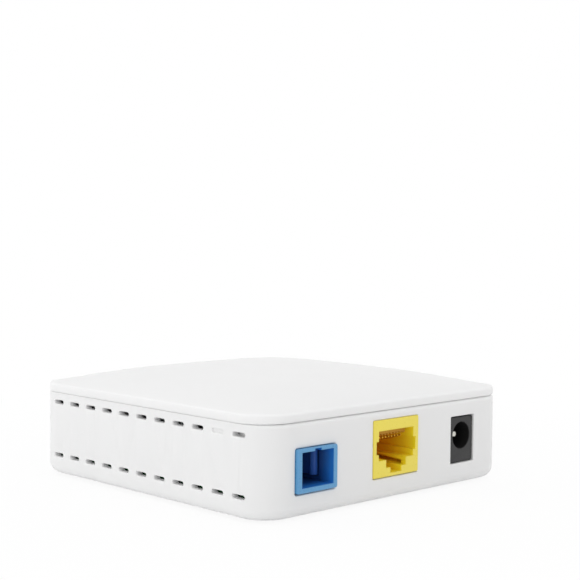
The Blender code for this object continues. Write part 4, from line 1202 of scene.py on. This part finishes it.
# %% Feet and screws
FOOT_EDGE = 0.25
FOOT_DISH = {"depth": 0.12, "flat": 0.55, "rim": 0.72}
SCREW_SHANK = 1.0
SCREW_TIP = {"radius": 0.6, "length": 0.5}
SCREW_HEAD = 1.4
SCREW_CHAMFER = 0.1
SCREW_RIM = 0.4
SCREW_CROWN = 0.38
SCREW_CROSS = {"reach": 1.25, "width": 0.5, "depth": 0.75}
SCREW_TURN = 23.0


def foot_shape():
    """A rubber disc that stands on its own bottom."""
    size = node_box(feet[0]).size
    radius = size.x / 2
    depth, flat, rim = FOOT_DISH.values()
    profile = [(depth, AXIS_RADIUS), (depth, radius * flat), (0.0, radius * rim)]
    profile += [(FOOT_EDGE - rise, radius - edge) for edge, rise in reversed(quarter(FOOT_EDGE))]
    return turned(profile + [(size.z, radius)], steps=48)


def cut_cross(piece, x, y, top, reach, width, depth):
    """Cuts two grooves that cross at a place into a piece's top."""
    for across, along in ((reach, width / 2), (width / 2, reach)):
        carve(piece, block((x - across, y - along, top - depth), (x + across, y + along, top + OVERCUT)))


def screw_shape():
    """A pan-head screw with a cross recess. Zero is the underside of its head."""
    size = node_box(screws[0]).size
    radius = size.x / 2
    tip = SCREW_HEAD - size.z
    profile = [(tip, SCREW_TIP["radius"]), (tip + SCREW_TIP["length"], SCREW_SHANK), (0.0, SCREW_SHANK)]
    profile += [(0.0, radius - SCREW_CHAMFER), (SCREW_CHAMFER, radius)]
    profile += [(SCREW_RIM + (SCREW_HEAD - SCREW_RIM) * rise, radius * (1 - SCREW_CROWN * edge))
                for edge, rise in quarter(1.0, 8)]
    screw = solid("screw", turned(profile, steps=36))
    cut_cross(screw, 0.0, 0.0, SCREW_HEAD, **SCREW_CROSS)
    shape = in_millimetres(screw.data)
    bpy.data.objects.remove(screw)
    return shape


foot_places = [(at_node(foot, 0.0), 0.0) for foot in feet]
dress(copies("rubber_feet", foot_shape(), foot_places, foot_rubber), "base", "foot_rubber", *feet)
screw_seat = node_box(screws[0]).high.z - SCREW_HEAD
screw_places = [(at_node(screw, screw_seat), SCREW_TURN * number) for number, screw in enumerate(screws)]
dress(copies("board_screws", screw_shape(), screw_places, screw_steel), "base", "screw_steel", *screws)

# %% [markdown]
# ## The circuit board
#
# The board is glass-fibre laminate under a green lacquer. Copper tracks below the lacquer show as lighter
# lines, so the material draws them: bands of parallel tracks that run one way or the other, with plain
# copper between. Modelling each track would take thousands of faces for a surface that shows only when the
# lid is off.

# %% The green lacquer
FIELD_SIZE = 9.0
FIELD_VARIETY = 0.7
# This share of the fields has tracks, one half of them along x and the other along y. The rest is copper.
TRACKED_SHARE = 0.45
TRACK_SIZE = 3.0
TRACK_LEVEL = 0.55
COPPER_RELIEF = {"Strength": 0.4, "Distance": 0.03 * MM}
LACQUER = {"Roughness": 0.27, "IOR": 1.5}


def lacquered_board():
    """Solder mask over copper: a smooth green gloss, lighter where copper lies under it."""
    material, tree, place = new_material("fibreglass_green_lacquer")
    fields = add(tree, "ShaderNodeTexVoronoi", {
        "Vector": place, "Scale": per(FIELD_SIZE), "Randomness": FIELD_VARIETY}, distance="CHEBYCHEV")
    choice = add(tree, "ShaderNodeSeparateColor", {"Color": fields.outputs["Color"]}).outputs
    which = add(tree, "ShaderNodeMath", {0: choice[0], 1: 0.5}, operation="GREATER_THAN")
    plain = add(tree, "ShaderNodeMath", {0: choice[1], 1: TRACKED_SHARE}, operation="GREATER_THAN")
    bands = {"Vector": place, "Scale": per(TRACK_SIZE), "Distortion": 0.0}
    waves = [add(tree, "ShaderNodeTexWave", bands, bands_direction=way).outputs["Fac"] for way in "XY"]
    lines = add(tree, "ShaderNodeMix", {0: which, 2: waves[0], 3: waves[1]})
    tracks = add(tree, "ShaderNodeMath", {0: lines, 1: TRACK_LEVEL}, operation="GREATER_THAN")
    copper = add(tree, "ShaderNodeMath", {0: tracks, 1: plain}, operation="MAXIMUM")
    tone = add(tree, "ShaderNodeMix", {
        0: copper, 6: linear("#0B2817"), 7: linear("#134624")}, data_type="RGBA")
    relief = add(tree, "ShaderNodeBump", {"Height": copper, **COPPER_RELIEF})
    shader = add(tree, "ShaderNodeBsdfPrincipled", {
        "Base Color": tone.outputs[2], "Normal": relief, **LACQUER})
    add(tree, "ShaderNodeOutputMaterial", {"Surface": shader})
    return material


board_mask = lacquered_board()
print("board skin:", board_mask.name)

# %% The board itself
BOARD_CORNER = 5.55
BOARD_EDGE = 0.12
SCREW_HOLE = 1.3


def make_board():
    side, bottom, top = board.size.x, board.low.z, board.high.z
    levels = [(BOARD_EDGE, bottom), (0.0, bottom + BOARD_EDGE), (0.0, top - BOARD_EDGE), (BOARD_EDGE, top)]
    plate = stack((side, side), BOARD_CORNER, levels, corner_steps=10, shrink=1)
    plate = solid("circuit_board", plate, board_mask)
    hole = [(-OVERCUT, SCREW_HOLE), (top - bottom + OVERCUT, SCREW_HOLE)]
    carve(plate, joined([turned(hole, at_node(screw, bottom), UP, 28) for screw in screws]))
    return plate


dress(make_board(), "base", "board_mask", "main_board")

# %% [markdown]
# ## The optical unit
#
# Behind the fibre socket sits a small zinc casting that splits the light two ways. A laser can plugs into
# its far end and a receiver can into its side. The cans are turned shapes with a welded flange, and their
# leads bend down to the board, so the tree that swept the network contacts makes them too.

# %% Casting and cans
CAN_FLANGE = {"radius": 2.7, "thick": 1.0, "chamfer": 0.1}
CAN_RADIUS = 2.2
CAN_WELD = 0.15
CAN_EDGE = 0.35
LEAD_RADIUS = 0.22
LEAD_PITCH = 0.95
LEAD = {"root": 0.2, "bend": 2.2, "reach": 1.9, "sink": 0.1}


def make_can(node, direction):
    """A can with a flange towards the casting, and where its closed end is. Direction is where it points."""
    box, axis = node_box(node), Vector(direction)
    length = box.size.dot(axis)
    flange, thick, chamfer = CAN_FLANGE.values()
    profile = [(0.0, flange - chamfer), (chamfer, flange)]
    profile += [(thick - chamfer, flange), (thick, flange - chamfer)]
    profile += [(thick, CAN_RADIUS + CAN_WELD), (thick + CAN_WELD, CAN_RADIUS)]
    profile += [(length - CAN_EDGE + rise, CAN_RADIUS - edge) for edge, rise in quarter(CAN_EDGE, 5)]
    return turned(profile, box.middle - axis * length / 2, direction, 48), box.middle + axis * length / 2


def make_leads(name, end, direction):
    """Three leads that leave a can's end and bend down to the board."""
    axis = Vector(direction)
    pitch = Vector((axis.y, axis.x, 0.0)) * LEAD_PITCH
    fall = Vector((0.0, 0.0, board.high.z - end.z - LEAD["sink"]))
    start = end - pitch - axis * LEAD["root"]
    tip = axis * LEAD["reach"] + fall
    return wires(name, 3, LEAD_RADIUS, pitch=pitch, start=start, bend=axis * LEAD["bend"], tip=tip)


dress_copy("optics_casting", "optics_body", 0.3, optics_metal, "base", "optics_metal", 3)
for name, node, direction in (("laser", "laser_can", BACKWARDS), ("receiver", "photodiode_can", (1, 0, 0))):
    can, can_end = make_can(node, direction)
    dress(solid(f"{name}_shell", can, optics_metal), "base", "optics_metal", node)
    dress(make_leads(f"{name}_leads", can_end, direction), "base", "contact_gold")

# %% [markdown]
# ## Chips and their legs
#
# A chip is moulded epoxy round a metal frame. Its sides slope both ways from the parting line, where the
# legs come out, and a round dimple marks the first leg. One bent leg is enough: the tree for marked points
# puts it on every place.

# %% Chip bodies
CHIP_SLOPE = 0.12
CHIP_EDGE = 0.08
CHIP_CORNER = 0.12
CHIP_PARTING = 0.45
DIMPLE = {"radius": 0.4, "floor": 0.8, "depth": 0.06, "inset": 1.3}
chip_epoxy = moulded("black_epoxy_moulded", "#1E1E20", "#262628", (0.48, 0.62), 0.25, 0.02, 1.56)


def make_chip(name, node):
    low, high, middle, size = node_box(node)
    levels = [(CHIP_SLOPE, low.z), (0.0, low.z + CHIP_PARTING * size.z)]
    levels += [(CHIP_SLOPE, high.z - CHIP_EDGE), (CHIP_SLOPE + CHIP_EDGE, high.z)]
    body = solid(name, stack(size, CHIP_CORNER, levels, middle), chip_epoxy)
    radius, floor, depth, inset = DIMPLE.values()
    dimple = [(-depth, radius * floor), (0.0, radius), (OVERCUT, radius)]
    carve(body, turned(dimple, (low.x + inset, low.y + inset, high.z), UP, 20))
    return body


for node in ("processor_chip", "flash_chip", "laser_driver_chip", "converter_chip", "lan_transformer"):
    dress(make_chip(f"{node}_body", node), "base", "chip_epoxy", node)

# %% Chip legs
LEG_THICK = 0.15
LEG_ROOT = 0.3
LEG_KNEES = (0.3, 0.55)
LEG_SLANT = 0.1
# A set is a chip, its sides with legs, legs to a side and their pitch, and a leg's reach, height and width.
LEG_SETS = {
    "processor_legs": ("processor_chip", (0, 90, 180, 270), 24, 0.5, (1.1, 0.95, 0.22)),
    "flash_legs": ("flash_chip", (0, 180), 4, 1.27, (1.2, 1.1, 0.42)),
    "converter_legs": ("converter_chip", (90, 270), 4, 1.27, (1.1, 1.0, 0.42)),
    "transformer_legs": ("lan_transformer", (90, 270), 8, 1.27, (1.3, 1.6, 0.45))}


def leg_shape(reach, height, width):
    """A gull-wing leg, its foot at zero height, pointing along x from the chip's side."""
    knee, ankle = (share * reach for share in LEG_KNEES)
    upper = [(-LEG_ROOT, height), (knee, height), (ankle, LEG_THICK), (reach, LEG_THICK)]
    lower = [(reach, 0.0), (ankle - LEG_SLANT, 0.0)]
    lower += [(knee - LEG_SLANT, height - LEG_THICK), (-LEG_ROOT, height - LEG_THICK)]
    return loft([[(x, y, z) for x, z in upper + lower] for y in (-width / 2, width / 2)])


def leg_places(node, turns, count, pitch):
    """Places along a chip's sides. A turn of 0 is the side that faces +X."""
    box = node_box(node)
    places = []
    for turn in turns:
        half = (box.size.x if turn % 180 == 0 else box.size.y) / 2
        rotation = Matrix.Rotation(math.radians(turn), 2)
        for index in range(count):
            spot = rotation @ Vector((half, (index - (count - 1) / 2) * pitch))
            places.append(((box.middle.x + spot.x, box.middle.y + spot.y, board.high.z), turn))
    return places


for name, (*sides, leg) in LEG_SETS.items():
    dress(copies(name, leg_shape(*leg), leg_places(*sides), lead_tin), "base", "contact_nickel")

# %% [markdown]
# ## Larger parts on the board
#
# A drawn steel can holds the crystal. The coil is a square of ferrite with a round drum inside. The two
# round cans are electrolytic capacitors: drawn aluminium, crimped round the rubber plug near the foot and
# scored on top so that they open safely.

# %% Crystal and coil
CRYSTAL_FLANGE = {"height": 0.4, "width": 0.3, "edge": 0.1, "weld": 0.05}
CRYSTAL_ROUND = 0.4
CRYSTAL_END_FLAT = 0.05
COIL_GROOVE = {"inner": 2.35, "outer": 2.65, "floor": 2.6, "depth": 0.25}
inductor_ferrite = moulded("ferrite_sintered_lacquered", "#303034", "#3A3A3E", (0.50, 0.66), 0.3, 0.03, 1.6)


def make_crystal():
    low, high, middle, size = node_box("crystal_can")
    height, width, edge, weld = CRYSTAL_FLANGE.values()
    top = low.z + height
    levels = [(0.0, low.z), (0.0, top - edge), (edge, top), (width - weld, top), (width, top + edge)]
    levels += [(width + inset, high.z - CRYSTAL_ROUND + rise) for inset, rise in quarter(CRYSTAL_ROUND, 5)]
    return stack(size, size.y / 2 - CRYSTAL_END_FLAT, levels, middle, 10, 1)


def make_coil():
    coil = solid("coil_block", softened("power_inductor", 0.25), inductor_ferrite)
    inner, outer, floor, depth = COIL_GROOVE.values()
    top = at_node("power_inductor", node_box("power_inductor").high.z)
    ring = solid("groove", turned([(-depth, floor), (OVERCUT, outer)], top, UP, 48))
    carve(ring, turned([(-depth - OVERCUT, inner), (2 * OVERCUT, inner)], top, UP, 48))
    carve(coil, ring)
    return coil


dress(solid("crystal_shell", make_crystal(), crystal_steel), "base", "crystal_steel", "crystal_can")
dress(make_coil(), "base", "inductor_ferrite", "power_inductor")

# %% Capacitor cans
CAPACITOR_SHRINK = 0.05
CAPACITOR_FOOT = ((0.6, 0.2), (0.9, 0.0))
CAPACITOR_ROUND = 0.4
CRIMP = {"height": 1.9, "depth": 0.3, "half": 0.4}
SCORE = {"reach": 0.7, "width": 0.18, "depth": 0.1}
FOOT_PLATE = ((-3.0, -3.0), (2.1, -3.0), (3.0, -2.1), (3.0, 2.1), (2.1, 3.0), (-3.0, 3.0))
FOOT_PLATE_LEVELS = ((0.98, 0.0), (1.0, 0.1), (1.0, 0.6), (0.97, 0.7))
capacitors = numbered("electrolytic_capacitor", 2)


def make_capacitor(node):
    low, high, middle, size = node_box(node)
    radius = size.x / 2 - CAPACITOR_SHRINK
    height, depth, half = CRIMP.values()
    angles = [math.pi * step / 8 for step in range(9)]
    profile = [(z, radius - inset) for z, inset in CAPACITOR_FOOT]
    profile += [(height - half * math.cos(a), radius - depth * math.sin(a)) for a in angles]
    shoulder = size.z - CAPACITOR_ROUND
    profile += [(shoulder + rise, radius - edge) for edge, rise in quarter(CAPACITOR_ROUND, 5)]
    can = solid(f"{node}_can", turned(profile, at_node(node, low.z), UP, 56), capacitor_aluminium)
    cut_cross(can, middle.x, middle.y, high.z, SCORE["reach"] * size.x / 2, SCORE["width"], SCORE["depth"])
    return can


for node in capacitors:
    dress(make_capacitor(node), "base", "capacitor_aluminium", node)
# The plastic plate under a can has two corners cut off to show which way round it goes.
plate = loft([[(x * size, y * size, z) for x, y in FOOT_PLATE] for size, z in FOOT_PLATE_LEVELS])
plate_places = [(at_node(node, node_box(node).low.z), 90.0) for node in capacitors]
dress(copies("capacitor_feet", plate, plate_places, plunger_black), "base", "socket_dark")

# %% [markdown]
# ## Lights, light guide and reset switch
#
# Four small lights sit on the board, and a clear bar carries their light up and out through the back wall.
# The reset switch has a nylon body with a steel cover, and a plunger that a paper clip can reach.

# %% Lights and light guide
# The layers of a light's cast lens, as widths, depths and heights.
LENS_LAYERS = ((1.3, 1.05, 0.25), (1.3, 1.05, 0.5), (1.15, 0.9, 0.72), (0.9, 0.7, 0.8))
LENS_CORNER = 0.25
CARRIER = ((2.0, 1.25), 0.12, ((0.0, 0.0), (0.0, 0.32)))
led_resin = moulded("phosphor_resin_cast", "#E9DFA0", "#E4D892", (0.16, 0.26), 0.4, 0.006, 1.50)
carrier_white = moulded("white_nylon_moulded", "#E6E6E2", "#DEDEDA", (0.40, 0.52), 0.3, 0.015, 1.53)
# Polycarbonate with a polished skin and a very faint tint.
guide_clear = skin(
    "polycarbonate_clear_polished", ("#F2F5F6", "#F2F5F6"), (0.05, 0.16), (0.8, 2.0), span=(0.0, 1.0),
    shading={"IOR": 1.585, "Transmission Weight": 0.9})
led_places = [(at_node(light, node_box(light).low.z), 0.0) for light in lights]
lens = loft([
    [(x, y, z) for x, y in outline(width, depth, LENS_CORNER, 4)] for width, depth, z in LENS_LAYERS])
dress(copies("light_lenses", lens, led_places, led_resin), "base", "led_resin", *lights)
dress(copies("light_carriers", stack(*CARRIER), led_places, carrier_white), "base", "led_resin")
dress_copy("light_bar", "light_guide", 0.12, guide_clear, "base", "guide_clear")

# %% Reset switch
COVER = {"thick": 0.25, "gap": 0.05, "fold": 0.2, "flap": 0.62, "inset": 0.3}


def make_switch_cover():
    """The steel sheet folded over the switch: a plate on top with two side flaps."""
    low, high, middle, size = node_box("reset_switch_body")
    thick, gap, fold, flap, inset = COVER.values()
    inner = size.x / 2 + gap
    outer = inner + thick
    top = high.z + thick
    end = top - flap * size.z
    half = [(inner, end), (outer, end), (outer, top - fold), (outer - fold, top)]
    ring = half + [(-x, z) for x, z in reversed(half)] + [(-inner, high.z), (inner, high.z)]
    return loft([[(middle.x + x, y, z) for x, z in ring] for y in (low.y + inset, high.y - inset)])


dress_copy("switch_body", "reset_switch_body", 0.12, socket_dark, "base", "socket_dark")
dress(solid("switch_cover", make_switch_cover(), crystal_steel), "base", "crystal_steel")
dress_copy("switch_plunger", "reset_plunger", 0.15, plunger_black, "reset_button", "plunger_black")

# %% [markdown]
# ## Small parts
#
# Dozens of ceramic capacitors and resistors surround the chips. Each is a small block between two tinned
# end caps. They stand in short rows, so a few rows give all the places, and two kinds of block on those
# places make the parts.

# %% Rows of small parts
# A row is where it starts, the step from part to part, how many there are, and how far each is turned.
CAPACITOR_ROWS = (
    ((-3.5, -5.2), (2.1, 0.0), 7, 90.0), ((-8.2, -0.5), (0.0, 2.1), 7), ((14.2, 0.0), (0.0, 2.1), 7),
    ((-2.5, 17.0), (2.1, 0.0), 6, 90.0), ((-18.6, -13.6), (0.0, 1.9), 4),
    ((15.5, -6.8), (2.3, 0.0), 8, 90.0))
RESISTOR_ROWS = (
    ((-18.0, 30.5), (8.0, 0.0), 4, 90.0), ((-10.4, -13.6), (0.0, 1.9), 4),
    ((17.5, 13.2), (1.9, 0.0), 5, 90.0), ((-24.0, 2.0), (0.0, 1.9), 8), ((-31.0, 2.0), (0.0, 1.9), 8))
PAD_ROWS = (((31.0, 8.0), (0.0, 2.4), 8), ((33.6, 8.0), (0.0, 2.4), 8), ((-30.5, 24.0), (2.4, 0.0), 5))
PART_LENGTH = 1.6
PART_WIDTH = 0.8
CAP_LENGTH = 0.35
CAP_OFFSET = (PART_LENGTH - CAP_LENGTH) / 2
# The body goes a little way into both caps, and is a little narrower.
CAP_LAP = 0.05
CAP_STEP = 0.02
BODY_LENGTH = PART_LENGTH - 2 * (CAP_LENGTH - CAP_LAP)
BODY_WIDTH = PART_WIDTH - 2 * CAP_STEP
PART_EDGE = 0.08
PART_CORNER = 0.1
ceramic_tan = moulded("ceramic_fired_tan", "#A98A64", "#9C7E5A", (0.42, 0.55), 0.2, 0.01, 1.7)


def blocks(length, width, height, offsets=(0.0,)):
    """Rounded blocks that stand on the board, one for each offset along their length."""
    levels = ((0.0, 0.0), (0.0, height - PART_EDGE), (PART_EDGE, height))
    return joined([stack((length, width), PART_CORNER, levels, (offset, 0.0), 2) for offset in offsets])


def small_body(height):
    return blocks(BODY_LENGTH, BODY_WIDTH, height)


def end_caps(height):
    return blocks(CAP_LENGTH, PART_WIDTH, height, (-CAP_OFFSET, CAP_OFFSET))


def on_board(rows):
    return [place for line in rows for place in row(board.high.z, *line)]


# A line of the table is a name, a shape with its height, the rows it stands in, its finish and its slot.
SMALL_PARTS = (
    ("ceramic_capacitors", small_body, 0.68, CAPACITOR_ROWS, ceramic_tan, "inductor_ferrite"),
    ("chip_resistors", small_body, 0.42, RESISTOR_ROWS, chip_epoxy, "chip_epoxy"),
    ("capacitor_ends", end_caps, 0.7, CAPACITOR_ROWS, lead_tin, "contact_nickel"),
    ("resistor_ends", end_caps, 0.45, RESISTOR_ROWS, lead_tin, "contact_nickel"))
for name, shape, height, rows, finish, slot in SMALL_PARTS:
    dress(copies(name, shape(height), on_board(rows), finish), "base", slot)

# %% Test pads
PAD_RADIUS = 0.65
PAD_HEIGHT = 0.07
PAD_SIDE = 0.04
PAD_EDGE = 0.1
pad = turned([(0.0, PAD_RADIUS), (PAD_SIDE, PAD_RADIUS), (PAD_HEIGHT, PAD_RADIUS - PAD_EDGE)], steps=20)
dress(copies("test_pads", pad, on_board(PAD_ROWS), contact_gold), "base", "contact_gold")
